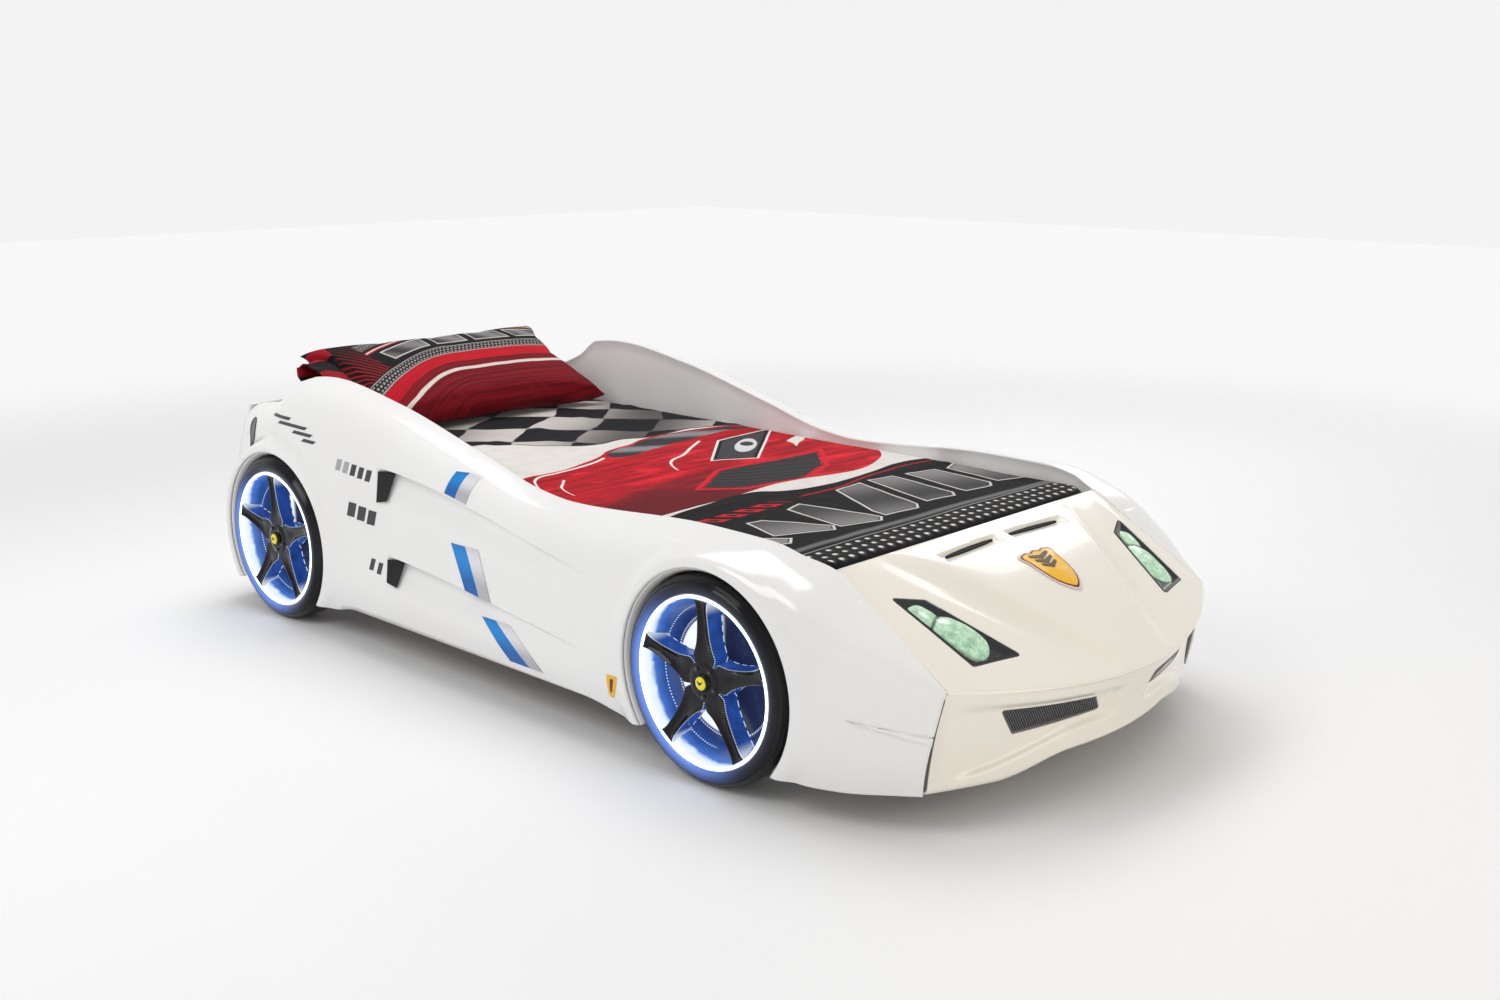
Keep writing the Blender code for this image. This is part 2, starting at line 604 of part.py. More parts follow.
def make_plate(name, sign, corners, rise, mat):
    """A thin plate held off the side by a rise, over four corners given as (y, z)."""
    corners = np.asarray(corners, float)
    half = side_half(corners[:, 0], corners[:, 1])
    points = np.stack([half * sign, corners[:, 0], corners[:, 1]], 1)
    span_y, span_z = points[0] - points[1], points[0] - points[3]
    normal = np.cross(span_y, span_z)
    normal *= np.sign(normal[0] * sign) / np.linalg.norm(normal)
    block_between(name, points + normal * (rise + 0.0025), points + normal * rise, mat)


def make_side_trim(side, sign):
    """Two scoop grilles and the tail light on one side."""
    for name, which, end, height, slope in (("upper", 0, SCOOP_Y, 0.070, 0.008),
                                            ("lower", 1, LOWER_SCOOP_Y, 0.066, -0.006)):
        back, front = end - 0.004, end - SCOOP_WALL + 0.004
        crease = crease_heights(np.array([front, back]))[which]
        corners = [(back, crease[1] - 0.007), (front, crease[0] - 0.007),
                   (front, crease[0] - height), (back, crease[1] - height - slope)]
        make_plate("scoop_grille_" + name + "_" + side, sign, corners, 0.005, DARK)
    middle = TAIL_Y - 0.095
    corners = [(middle + 0.026, 0.478), (middle - 0.018, 0.470), (middle + 0.006, 0.405),
               (middle + 0.026, 0.398)]
    make_plate("tail_light_" + side, sign, corners, 0.009, DARK)


def make_badge():
    """A shield-shaped plate on the bonnet."""
    half = [(0.000, -0.128), (0.058, -0.128), (0.047, -0.165), (0.036, -0.205), (0.000, -0.245)]
    outline = np.array(half + [(-x, y) for x, y in half[3:0:-1]]) + (0, OPEN_Y)

    def level(rise):
        return np.stack([outline[:, 0], outline[:, 1],
                         bonnet_height(outline[:, 0], outline[:, 1]) + rise], 1)

    loft("bonnet_badge", [level(0.0030), level(0.0055)], YELLOW)


# ---------------------------------------------------------------- wheels
def make_wheel(name, sign, hub):
    """A fixed show wheel: pan, tyre ring, light ring, spoked rim and hub cap."""
    centre = (hub, HUB_Z)
    face = WHEEL_FACE
    barrel = LED_RADIUS - LED_WIDTH
    pan = [(0.0, PAN_X), (ARCH_RADIUS - 0.004, PAN_X), (ARCH_RADIUS - 0.004, PAN_X + PAN_SHEET),
           (barrel + 0.003, PAN_X + PAN_SHEET), (barrel + 0.003, face - 0.005),
           (barrel + 0.0005, face - 0.005), (barrel + 0.0005, PAN_X + PAN_SHEET), (0.0, PAN_X + PAN_SHEET)]
    turned("wheel_pan_" + name, pan, centre, sign, BLUE, segments=32, lowest=0.004)
    inner, back = LED_RADIUS + GAP, PAN_X + PAN_SHEET + GAP
    tyre = [(inner, back), (WHEEL_RADIUS - 0.004, back), (WHEEL_RADIUS, back + 0.010),
            (WHEEL_RADIUS, face - 0.028), (WHEEL_RADIUS - 0.007, face - 0.008),
            (WHEEL_RADIUS - 0.018, face + 0.002), (inner + 0.003, face - 0.001), (inner, face - 0.006)]
    turned("tyre_" + name, tyre, centre, sign, BLACK, segments=48)
    ring = [(LED_RADIUS, face - 0.0045), (LED_RADIUS, face), (barrel, face), (barrel, face - 0.0045)]
    turned("light_ring_" + name, ring, centre, sign, LIGHT, segments=40)
    make_rim(name, sign, centre, face - 0.006)
    cap = [(0.0, face + 0.0010), (CAP_RADIUS, face + 0.0002), (CAP_RADIUS, face - 0.0035),
           (0.0, face - 0.0035)]
    turned("hub_cap_" + name, cap, centre, sign, YELLOW, segments=20)


def make_rim(name, sign, centre, face):
    """Five spokes that widen at both ends, cut from one plate with its outer ring."""
    per_window = 8
    step = 2 * math.pi / SPOKE_COUNT
    window_inner, window_outer = HUB_RADIUS + 0.012, RIM_RADIUS - RIM_RING
    outer_points = 6 * SPOKE_COUNT
    depths = (face - 0.014, face)
    verts, faces = [], []
    for depth in depths:
        angles = math.pi / 2 + np.arange(outer_points) * 2 * math.pi / outer_points
        for angle in angles:
            verts.append((sign * depth, centre[0] + RIM_RADIUS * math.cos(angle),
                          centre[1] + RIM_RADIUS * math.sin(angle)))
        for k in range(SPOKE_COUNT):
            first = math.pi / 2 + k * step
            arc = np.linspace(first + 0.16, first + step - 0.16, per_window - 2)
            for angle in arc:
                verts.append((sign * depth, centre[0] + window_outer * math.cos(angle),
                              centre[1] + window_outer * math.sin(angle)))
            for share in (0.60, 0.40):
                angle = first + step * share
                verts.append((sign * depth, centre[0] + window_inner * math.cos(angle),
                              centre[1] + window_inner * math.sin(angle)))
    bm = bmesh.new()
    count = outer_points + SPOKE_COUNT * per_window
    made = [bm.verts.new(v) for v in verts]
    loops = [list(range(outer_points))]
    for k in range(SPOKE_COUNT):
        start = outer_points + k * per_window
        loops.append(list(range(start, start + per_window)))
    for level in (0, count):
        edges = []
        for loop in loops:
            for i, a in enumerate(loop):
                edges.append(bm.edges.new((made[level + a], made[level + loop[(i + 1) % len(loop)]])))
        bmesh.ops.triangle_fill(bm, use_beauty=True, edges=edges)
    for loop in loops:
        for i, a in enumerate(loop):
            b = loop[(i + 1) % len(loop)]
            bm.faces.new((made[a], made[b], made[count + b], made[count + a]))
    bmesh.ops.recalc_face_normals(bm, faces=bm.faces)
    mesh = bpy.data.meshes.new("rim_" + name)
    bm.to_mesh(mesh)
    bm.free()
    mesh.materials.append(BLACK)
    obj = bpy.data.objects.new("rim_" + name, mesh)
    bpy.context.collection.objects.link(obj)


# ---------------------------------------------------------------- wooden frame
def make_frame():
    """Side boards with cleats, end boards with feet, a middle beam and its leg, and slats."""
    front, back = OPEN_Y - SHEET - GAP, HEAD_Y + SHEET + GAP
    for side, sign in SIDES:
        xs = sorted((sign * BOARD_IN, sign * BOARD_OUT))
        box("side_board_" + side, (xs[0], front, BOARD_BOTTOM), (xs[1], back, BOARD_TOP), WOOD)
        xs = sorted((sign * (BOARD_IN - GAP), sign * (BOARD_IN - GAP - CLEAT_WIDTH)))
        top = SLAT_TOP - SLAT_THICK - GAP
        box("slat_cleat_" + side, (xs[0], front, top - CLEAT_HEIGHT), (xs[1], back, top), WOOD)
    for name, low, high in (("foot_board", front - GAP - 0.022, front - GAP),
                            ("head_board", back + GAP, back + GAP + 0.018)):
        outer, notch = BOARD_OUT - 0.0005, END_NOTCH_HALF
        right = [(notch, END_NOTCH_TOP), (notch, 0), (END_FOOT_OUTER, 0), (END_FOOT_OUTER, END_NOTCH_TOP),
                 (outer, END_NOTCH_TOP), (outer, END_BOARD_TOP)]
        outline = right + [(-x, z) for x, z in reversed(right)]
        loft(name, [[(x, y, z) for x, z in outline] for y in (low, high)], BOARD)
    half = BEAM_WIDTH / 2
    beam_top = SLAT_TOP - SLAT_THICK - GAP
    box("centre_beam", (-half, front, beam_top - BEAM_HEIGHT), (half, back, beam_top), WOOD)
    middle = (OPEN_Y + HEAD_Y) / 2
    leg_top = beam_top - BEAM_HEIGHT - GAP
    box("centre_leg", (-half, middle - half, 0.0), (half, middle + half, leg_top), WOOD)
    reach = WELL_HALF - 0.0025
    first, last = OPEN_Y + 0.09, HEAD_Y - 0.09
    for i in range(SLAT_COUNT):
        y = first + (last - first) * i / (SLAT_COUNT - 1)
        box("slat_%d" % (i + 1), (-reach, y - SLAT_WIDTH / 2, SLAT_TOP - SLAT_THICK),
            (reach, y + SLAT_WIDTH / 2, SLAT_TOP), WOOD)


# ---------------------------------------------------------------- bedding
def rounded_slab(name, low, high, corner, mat):
    """A slab with rounded upright corners."""
    cx, cy = (low[0] + high[0]) / 2, (low[1] + high[1]) / 2
    hx, hy = (high[0] - low[0]) / 2 - corner, (high[1] - low[1]) / 2 - corner
    ring = []
    for quarter, (sx, sy) in enumerate(((1, 1), (-1, 1), (-1, -1), (1, -1))):
        for k in range(5):
            angle = math.pi / 2 * (quarter + k / 4)
            ring.append((cx + sx * hx + corner * math.cos(angle),
                         cy + sy * hy + corner * math.sin(angle)))
    return loft(name, [[(x, y, z) for x, y in ring] for z in (low[2], high[2])], mat)


def make_bedding():
    """Mattress, bedspread and a pillow that leans on the tail wall."""
    half = MATTRESS_WIDTH / 2
    front = OPEN_Y + WELL_CLEAR / 2
    back = front + MATTRESS_LENGTH
    rounded_slab("mattress", (-half, front, SLAT_TOP + GAP), (half, back, MATTRESS_TOP), 0.060, COTTON)
    top = MATTRESS_TOP + GAP
    spread_top = top + BEDSPREAD_THICK
    rounded_slab("bedspread", (-half, front, top), (half, back, spread_top), 0.060, PRINT)
    width, height, thick = PILLOW_SIZE
    cos, sin = math.cos(PILLOW_TILT), math.sin(PILLOW_TILT)
    rest = spread_top + 0.003
    rings = []
    for k in range(7):
        level = -1 + 2 * k / 6
        round_off = math.sqrt(1 - (0.92 * level)**2)
        ring = []
        for j in range(20):
            angle = 2 * math.pi * j / 20
            u = math.copysign(abs(math.cos(angle))**0.45, math.cos(angle)) * width / 2
            v = math.copysign(abs(math.sin(angle))**0.45, math.sin(angle)) * height / 2
            ring.append((u * (0.80 + 0.20 * round_off), v * (0.70 + 0.30 * round_off), level * thick / 2))
        rings.append(np.array(ring))
    points = np.stack(rings)
    turned_y = points[..., 1] * cos - points[..., 2] * sin
    turned_z = points[..., 1] * sin + points[..., 2] * cos
    place_y = HEAD_Y - 0.012 - turned_y.max()
    place_z = rest - turned_z.min()
    lean = np.stack([points[..., 0], turned_y + place_y, turned_z + place_z], -1)
    loft("pillow", list(lean), PRINT, smooth=60)


# ---------------------------------------------------------------- lamp control
def make_control():
    """A control box on the inside of the head board, with a rocker switch on a cross pin."""
    width, depth, height = BOX_SIZE
    back = HEAD_Y + SHEET
    x, z = BOX_PLACE
    low = (x - width / 2, back - depth, z)
    high = (x + width / 2, back, z + height)
    case = box("lamp_control_box", low, high, BLACK)
    half_wide, rocker_deep, half_high = ROCKER_SIZE[0] / 2, ROCKER_SIZE[1], ROCKER_SIZE[2] / 2
    pivot = (x, back - depth + 0.001, z + height / 2)
    room = half_high + 0.0025
    socket = box("rocker_socket_cut", (x - half_wide - FIT, pivot[1] - 0.011, pivot[2] - room),
                 (x + half_wide + FIT, pivot[1] + 0.011, pivot[2] + room), BLACK)
    cut(case, socket)
    rear, face = 0.4 * rocker_deep, -0.3 * rocker_deep
    outline = ((rear, -0.006), (rear, 0.006), (face, half_high), (-0.5 * rocker_deep, 0.0),
               (face, -half_high))
    ends = [[(x + side * half_wide, pivot[1] + y, pivot[2] + up) for y, up in outline]
            for side in (-1, 1)]
    rocker = loft("light_switch", ends, BLACK)
    put_origin(rocker, pivot)


nose_panel = make_nose()
make_tail()
for side_name, side_sign in SIDES:
    make_side(side_name, side_sign)
    make_headlight(side_name, side_sign, nose_panel)
    make_front_grille(side_name, side_sign, nose_panel)
    make_side_trim(side_name, side_sign)
make_badge()
for wheel_name, wheel_sign, wheel_hub in WHEELS:
    make_wheel(wheel_name, wheel_sign, wheel_hub)
make_frame()
make_bedding()
make_control()
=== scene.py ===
"""Child's race-car bed: finished skins, wheels, lamps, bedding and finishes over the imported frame.

Metres, +Z up. The nose points along -Y and the pillow end along +Y; left is -X, right is +X.
"""
import bpy
import bmesh
import math
import numpy as np
from functools import reduce
from mathutils import Matrix, Vector


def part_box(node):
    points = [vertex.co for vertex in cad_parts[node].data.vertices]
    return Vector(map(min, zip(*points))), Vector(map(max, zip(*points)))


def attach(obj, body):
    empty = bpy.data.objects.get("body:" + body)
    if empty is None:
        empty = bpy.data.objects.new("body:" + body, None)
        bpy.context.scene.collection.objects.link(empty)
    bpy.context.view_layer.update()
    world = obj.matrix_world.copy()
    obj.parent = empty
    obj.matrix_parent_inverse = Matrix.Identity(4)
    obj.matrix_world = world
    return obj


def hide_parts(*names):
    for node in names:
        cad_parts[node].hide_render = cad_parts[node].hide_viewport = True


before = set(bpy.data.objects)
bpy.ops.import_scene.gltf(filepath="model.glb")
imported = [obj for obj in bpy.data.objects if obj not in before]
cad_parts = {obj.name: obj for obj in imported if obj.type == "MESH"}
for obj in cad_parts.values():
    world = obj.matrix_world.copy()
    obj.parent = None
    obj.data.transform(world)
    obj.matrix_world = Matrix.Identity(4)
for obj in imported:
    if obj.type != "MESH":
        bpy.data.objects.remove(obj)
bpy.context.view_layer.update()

# ---------------------------------------------------------------- driving dimensions
GAP = 0.0004                 # between pieces that rest on each other
PANEL_GAP = 0.0013           # at the seams between panels
SHEET = 0.004                # thickness of the frame's own panels
PANEL_SKIN = 0.0036          # thickness of the moulded skins
FRONT_NARROWING = 0.020      # the well's front corners stand in by this much
MATTRESS_LENGTH, MATTRESS_WIDTH, MATTRESS_THICK = 1.90, 0.90, 0.143
WELL_CLEAR = 0.006           # mattress to the wall of the well
SIDE_DEPTH = 0.1265          # wall of the well to the widest part of the side
NOSE_LENGTH, TAIL_DEPTH = 0.397, 0.0315
SLAT_TOP = 0.2805
RAIL_SEAM, RAIL_FENDER, RAIL_LOW, RAIL_HUMP, RAIL_TAIL = 0.431, 0.465, 0.443, 0.6055, 0.500
BODY_BOTTOM, SKIRT_BOTTOM, SILL_HEIGHT = 0.090, 0.069, 0.160
NOSE_SEAM_HEIGHT, NOSE_TIP_HEIGHT = 0.270, 0.242
LIP_CENTRE_HEIGHT, LIP_SIDE_HEIGHT = 0.100, 0.074
SEAM_WIDTH, CORNER_SETBACK = 0.451, 0.134
WHEEL_RADIUS, ARCH_CLEAR = 0.203, 0.012
FRONT_HUB_SETBACK, REAR_HUB_SETBACK = 0.198, 0.2225
LED_RADIUS, SPOKE_TIP, CAP_RADIUS = 0.166, 0.1585, 0.0125
SCOOP_DEPTH, SCOOP_WALL = 0.034, 0.042
TAIL_LEAN = 0.020            # how far the tail's top leans forward
BEDSPREAD_THICK = 0.012
PILLOW_SIZE = (0.78, 0.36, 0.088)
PILLOW_TILT = math.radians(26)

WELL_HALF = MATTRESS_WIDTH / 2 + WELL_CLEAR
BODY_HALF = WELL_HALF + SIDE_DEPTH
BODY_LENGTH = NOSE_LENGTH + MATTRESS_LENGTH + WELL_CLEAR + TAIL_DEPTH
NOSE_Y, TAIL_Y = -BODY_LENGTH / 2, BODY_LENGTH / 2
OPEN_Y, HEAD_Y = NOSE_Y + NOSE_LENGTH, TAIL_Y - TAIL_DEPTH
CORNER_Y = NOSE_Y + CORNER_SETBACK
FRONT_HUB_Y, REAR_HUB_Y = OPEN_Y + FRONT_HUB_SETBACK, HEAD_Y - REAR_HUB_SETBACK
HUB_Z = WHEEL_RADIUS
ARCH_RADIUS = WHEEL_RADIUS + ARCH_CLEAR
SIDE_END_Y = TAIL_Y - 0.012
SKIRT_Z = SLAT_TOP + 0.0045   # lower edge of the well's walls
WHEEL_FACE = BODY_HALF - 0.003
MATTRESS_TOP = SLAT_TOP + GAP + MATTRESS_THICK
SPREAD_TOP = MATTRESS_TOP + GAP + BEDSPREAD_THICK
SCOOP_Y = REAR_HUB_Y - 0.437            # rear ends of the upper and lower scoops
LOWER_SCOOP_Y = SCOOP_Y - 0.045
SCOOP_FRONT_Y = FRONT_HUB_Y + 0.305     # where both fade into the side
STAR = 0.270                 # half length of the star of rays round a wheel
SIDES = (("left", -1.0), ("right", 1.0))
WHEELS = [(end + "_" + side, sign, hub)
          for end, hub in (("front", FRONT_HUB_Y), ("rear", REAR_HUB_Y))
          for side, sign in SIDES]


# ---------------------------------------------------------------- shader maths
class Wire:
    """A value inside a material. Plain arithmetic on it adds the Math nodes."""

    def __init__(self, finish, socket):
        self.finish, self.socket = finish, socket

    def _math(self, operation, *others):
        return self.finish.node("ShaderNodeMath", {"operation": operation}, dict(enumerate((self,) + others)))

    def _from(self, operation, other):
        return self.finish.node("ShaderNodeMath", {"operation": operation}, {0: other, 1: self})

    def __add__(self, other):
        return self._math("ADD", other)

    __radd__ = __add__

    def __sub__(self, other):
        return self._math("SUBTRACT", other)

    def __rsub__(self, other):
        return self._from("SUBTRACT", other)

    def __mul__(self, other):
        return self._math("MULTIPLY", other)

    __rmul__ = __mul__

    def __truediv__(self, other):
        return self._math("DIVIDE", other)

    def __pow__(self, other):
        return self._math("POWER", other)

    def __neg__(self):
        return self._from("SUBTRACT", 0.0)

    def __abs__(self):
        return self._math("ABSOLUTE")

    def min(self, other):
        return self._math("MINIMUM", other)

    def max(self, other):
        return self._math("MAXIMUM", other)

    def fract(self):
        return self._math("FRACT")

    def floor(self):
        return self._math("FLOOR")

    def sin(self):
        return self._math("SINE")

    def over(self, low, high):
        """0 below low, 1 above high, a straight ramp between; works with high under low too."""
        return self.finish.node("ShaderNodeMapRange", {"clamp": True},
                                {0: self, 1: low, 2: high, 3: 0.0, 4: 1.0})

    def soft(self, low, high):
        """As over, with an S-shaped ramp."""
        settings = {"interpolation_type": "SMOOTHSTEP"}
        return self.finish.node("ShaderNodeMapRange", settings, {0: self, 1: low, 2: high, 3: 0.0, 4: 1.0})


class Finish:
    """A Principled material that is put together from nodes."""

    def __init__(self, name, **constants):
        self.material = bpy.data.materials.new(name)
        self.material.use_nodes = True
        self.tree = self.material.node_tree
        self.shader = self.tree.nodes["Principled BSDF"]
        for socket, value in constants.items():
            self.set(socket.replace("_", " "), value)

    def set(self, socket, value):
        """Sets or links one socket of the shader."""
        self._feed(self.shader.inputs[socket], value)

    def _feed(self, socket, value):
        if isinstance(value, Wire):
            self.tree.links.new(value.socket, socket)
        elif isinstance(value, tuple) and len(value) == 3 and socket.type == "RGBA":
            socket.default_value = (*value, 1.0)
        else:
            socket.default_value = value

    def node(self, kind, settings=None, inputs=None, output=0):
        """Any node, from its type, its settings, and the values or links of its sockets."""
        made = self.tree.nodes.new(kind)
        for key, value in (settings or {}).items():
            if key == "stops":
                ramp = made.color_ramp
                while len(ramp.elements) < len(value):
                    ramp.elements.new(0.5)
                for element, (place, colour) in zip(ramp.elements, value):
                    element.position = place
                    element.color = (*colour, 1.0)
            elif key == "curve":
                points = made.mapping.curves[0].points
                while len(points) < len(value):
                    points.new(0.5, 0.5)
                for point, place in zip(points, value):
                    point.location = place
                made.mapping.update()
            else:
                setattr(made, key, value)
        for key, value in (inputs or {}).items():
            self._feed(made.inputs[key], value)
        return Wire(self, made.outputs[output])

    def place(self):
        """Object coordinates."""
        return self.node("ShaderNodeTexCoord", output="Object")

    def layout(self):
        """The piece's own flat coordinates."""
        return self.node("ShaderNodeUVMap", {"uv_map": "UVMap"})

    def parts(self, whole, count=3):
        """The first coordinates of a vector, each as its own wire."""
        return [self.node("ShaderNodeSeparateXYZ", inputs={0: whole}, output=i) for i in range(count)]

    def vector(self, x, y, z):
        return self.node("ShaderNodeCombineXYZ", inputs={0: x, 1: y, 2: z})

    def noise(self, where, scale, detail=2.0, rough=0.5):
        return self.node("ShaderNodeTexNoise", inputs={"Vector": where, "Scale": scale, "Detail": detail,
                                                       "Roughness": rough})

    def mix(self, share, first, second):
        """Colour mix: share 0 gives the first, 1 the second."""
        return self.node("ShaderNodeMix", {"data_type": "RGBA"}, {0: share, 6: first, 7: second}, output=2)

    def layers(self, colour, *coats):
        """Colours laid one over another: each coat is a share and its colour."""
        for share, coat in coats:
            colour = self.mix(share, colour, coat)
        return colour

    def bump(self, height, distance, strength=1.0):
        inputs = {"Height": height, "Distance": distance, "Strength": strength}
        self.set("Normal", self.node("ShaderNodeBump", inputs=inputs))

    def edge(self, x, y, start, end):
        """Distance to the left of the line from start to end."""
        run, rise = end[0] - start[0], end[1] - start[1]
        length = math.hypot(run, rise)
        across, along = -rise / length, run / length
        return x * across + (y * along - (start[0] * across + start[1] * along))

    def polygon(self, x, y, corners):
        """Distance inside a convex outline whose corners run anticlockwise."""
        return reduce(Wire.min, [self.edge(x, y, start, end)
                                 for start, end in zip(corners, corners[1:] + corners[:1])])

    def profile(self, x, points, low, high):
        """A smooth curve through (x, value) points, with values scaled between low and high."""
        first, last = points[0][0], points[-1][0]
        curve = [((px - first) / (last - first), (py - low) / (high - low)) for px, py in points]
        share = (x - first) / (last - first)
        return self.node("ShaderNodeFloatCurve", {"curve": curve}, {1: share}) * (high - low) + low


# ---------------------------------------------------------------- mesh helpers
def line(points, at):
    """A smooth line through (position, value) points: a cubic with no overshoot."""
    xs, ys = (np.array(c, float) for c in zip(*sorted(points)))
    step = np.diff(xs)
    slope = np.diff(ys) / step
    inner = np.where(slope[:-1] * slope[1:] > 0,
                     2 * slope[:-1] * slope[1:] / (slope[:-1] + slope[1:] + 1e-12), 0.0)
    tangent = np.concatenate([[slope[0]], inner, [slope[-1]]])
    at = np.clip(np.asarray(at, float), xs[0], xs[-1])
    i = np.clip(np.searchsorted(xs, at) - 1, 0, len(step) - 1)
    t = (at - xs[i]) / step[i]
    return ((2 * t**3 - 3 * t**2 + 1) * ys[i] + (t**3 - 2 * t**2 + t) * step[i] * tangent[i]
            + (3 * t**2 - 2 * t**3) * ys[i + 1] + (t**3 - t**2) * step[i] * tangent[i + 1])


def ease(value):
    """Smooth step from 0 to 1."""
    value = np.clip(value, 0.0, 1.0)
    return value * value * (3 - 2 * value)


def stations(points, counts):
    """Values from point to point, each stretch cut into its own number of steps."""
    parts = [np.linspace(a, b, n, endpoint=False) for a, b, n in zip(points, points[1:], counts)]
    return np.concatenate(parts + [[points[-1]]])


def grid_faces(rows, cols, start=0, around=False):
    """Quads of a rows x cols grid; around joins the last column to the first."""
    index = start + np.arange(rows * cols).reshape(rows, cols)
    if around:
        index = np.concatenate([index, index[:, :1]], axis=1)
    quads = np.stack([index[:-1, :-1], index[:-1, 1:], index[1:, 1:], index[1:, :-1]], axis=-1)
    return quads.reshape(-1, 4)


def raw_mesh(name, points, faces, uv=None):
    """A mesh from arrays of points and quads, with one (u, v) pair for each point."""
    mesh = bpy.data.meshes.new(name)
    faces = np.asarray(faces, np.int32)
    mesh.vertices.add(len(points))
    mesh.vertices.foreach_set("co", np.asarray(points, np.float32).ravel())
    mesh.loops.add(faces.size)
    mesh.loops.foreach_set("vertex_index", faces.ravel())
    mesh.polygons.add(len(faces))
    mesh.polygons.foreach_set("loop_start", np.arange(0, faces.size, 4, dtype=np.int32))
    mesh.update(calc_edges=True)
    if uv is not None:
        layer = mesh.uv_layers.new(name="UVMap")
        layer.data.foreach_set("uv", np.asarray(uv, np.float32)[faces.ravel()].ravel())
    return mesh


def weld(mesh, outward=None, recalc=False):
    """Merges doubled points, drops collapsed faces and turns the faces outwards."""
    bm = bmesh.new()
    bm.from_mesh(mesh)
    bmesh.ops.remove_doubles(bm, verts=bm.verts, dist=2e-5)
    bmesh.ops.dissolve_degenerate(bm, edges=bm.edges, dist=1e-6)
    if recalc or outward:
        bmesh.ops.recalc_face_normals(bm, faces=bm.faces)
    if outward:
        total = sum(outward(face.calc_center_median(), face.normal) * face.calc_area() for face in bm.faces)
        if total < 0:
            bmesh.ops.reverse_faces(bm, faces=bm.faces)
    bm.to_mesh(mesh)
    bm.free()


def rim_faces(rows, cols, first, second):
    """Quads that join the borders of two equal grids."""
    index = np.arange(rows * cols).reshape(rows, cols)
    loop = np.concatenate([index[0, :-1], index[:-1, -1], index[-1, :0:-1], index[:0:-1, 0]])
    after = np.roll(loop, -1)
    return np.stack([first + loop, second + loop, second + after, first + after], 1)


def slab_mesh(name, face, back, uv=None, back_uv=None):
    """A closed body between two equal grids of points, joined round their borders."""
    rows, cols = face.shape[:2]
    points = np.concatenate([face.reshape(-1, 3), back.reshape(-1, 3)])
    faces = np.concatenate([grid_faces(rows, cols), grid_faces(rows, cols, rows * cols)[:, ::-1],
                            rim_faces(rows, cols, 0, rows * cols)])
    mesh = raw_mesh(name, points, faces, None if uv is None else np.concatenate([uv, back_uv]))
    weld(mesh, recalc=True)
    return mesh


def place_piece(name, mesh, finish, body, nodes=(), sharp=38):
    """Puts a mesh in the scene as a piece of the bed, with its finish and the nodes it stands for."""
    mesh.materials.clear()
    mesh.materials.append(finish.material)
    mesh.shade_smooth()
    mesh.set_sharp_from_angle(angle=math.radians(sharp))
    piece = bpy.data.objects.new(name, mesh)
    bpy.context.collection.objects.link(piece)
    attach(piece, body)
    if nodes:
        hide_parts(*nodes)
    return piece


def patchwork(name, patches, outward):
    """Grids of points that share their borders, joined into one mesh."""
    points, faces, start = [], [], 0
    for patch in patches:
        rows, cols = patch.shape[:2]
        points.append(patch.reshape(-1, 3))
        faces.append(grid_faces(rows, cols, start))
        start += rows * cols
    mesh = raw_mesh(name, np.concatenate(points), np.concatenate(faces))
    weld(mesh, outward)
    return mesh


def solidify(piece, thickness):
    """Gives a skin its thickness on its inner side."""
    mod = piece.modifiers.new("sheet", "SOLIDIFY")
    mod.thickness = thickness
    mod.offset = -1.0
    return piece


def turned_mesh(name, profile, hub, sign, segments, closed=False, wrap=None):
    """A profile of (radius, X out from the wheel's face) points turned about a wheel's axis.

    Point (i, j) stands at radius r_i and angle 2 pi j / segments. u is the angle's arc in
    metres at the wheel's rim, v the share along the profile.
    """
    profile = np.asarray(profile, float)
    angle = np.arange(segments + 1) * 2 * math.pi / segments
    radius, depth = profile[:, :1], profile[:, 1:]
    x = np.broadcast_to(sign * (WHEEL_FACE + depth), (len(profile), segments + 1))
    y = hub + radius * np.cos(angle)
    z = HUB_Z + radius * np.sin(angle)
    if closed:
        x, y, z = (np.concatenate([c, c[:1]]) for c in (x, y, z))
    rows = x.shape[0]
    v = np.broadcast_to((np.arange(rows) / (rows - 1))[:, None] if wrap is None else wrap[:, None], x.shape)
    u = np.broadcast_to(angle * WHEEL_RADIUS, x.shape)
    points = np.stack([x, y, z], -1).reshape(-1, 3)
    mesh = raw_mesh(name, points, grid_faces(rows, segments + 1), np.stack([u, v], -1).reshape(-1, 2))
    weld(mesh, recalc=True)
    return mesh


# ---------------------------------------------------------------- body surface
def rail_height(y):
    """Height of the rail, and forward of the well of the seam beside the bonnet."""
    return line([(CORNER_Y, NOSE_SEAM_HEIGHT),
                 (OPEN_Y - 0.13, (NOSE_SEAM_HEIGHT + RAIL_SEAM) / 2 + 0.004),
                 (OPEN_Y, RAIL_SEAM),
                 (FRONT_HUB_Y - 0.06, RAIL_FENDER - 0.002),
                 (FRONT_HUB_Y + 0.09, RAIL_FENDER),
                 (FRONT_HUB_Y + 0.49, RAIL_LOW),
                 (FRONT_HUB_Y + 0.59, RAIL_LOW + 0.009),
                 (FRONT_HUB_Y + 0.79, RAIL_LOW + 0.36 * (RAIL_HUMP - RAIL_LOW)),
                 (REAR_HUB_Y - 0.39, RAIL_HUMP - 0.032),
                 (REAR_HUB_Y - 0.14, RAIL_HUMP),
                 (REAR_HUB_Y - 0.04, RAIL_HUMP - 0.008),
                 (REAR_HUB_Y + 0.04, RAIL_TAIL + 0.048),
                 (REAR_HUB_Y + 0.13, RAIL_TAIL + 0.015),
                 (TAIL_Y, RAIL_TAIL)], y)


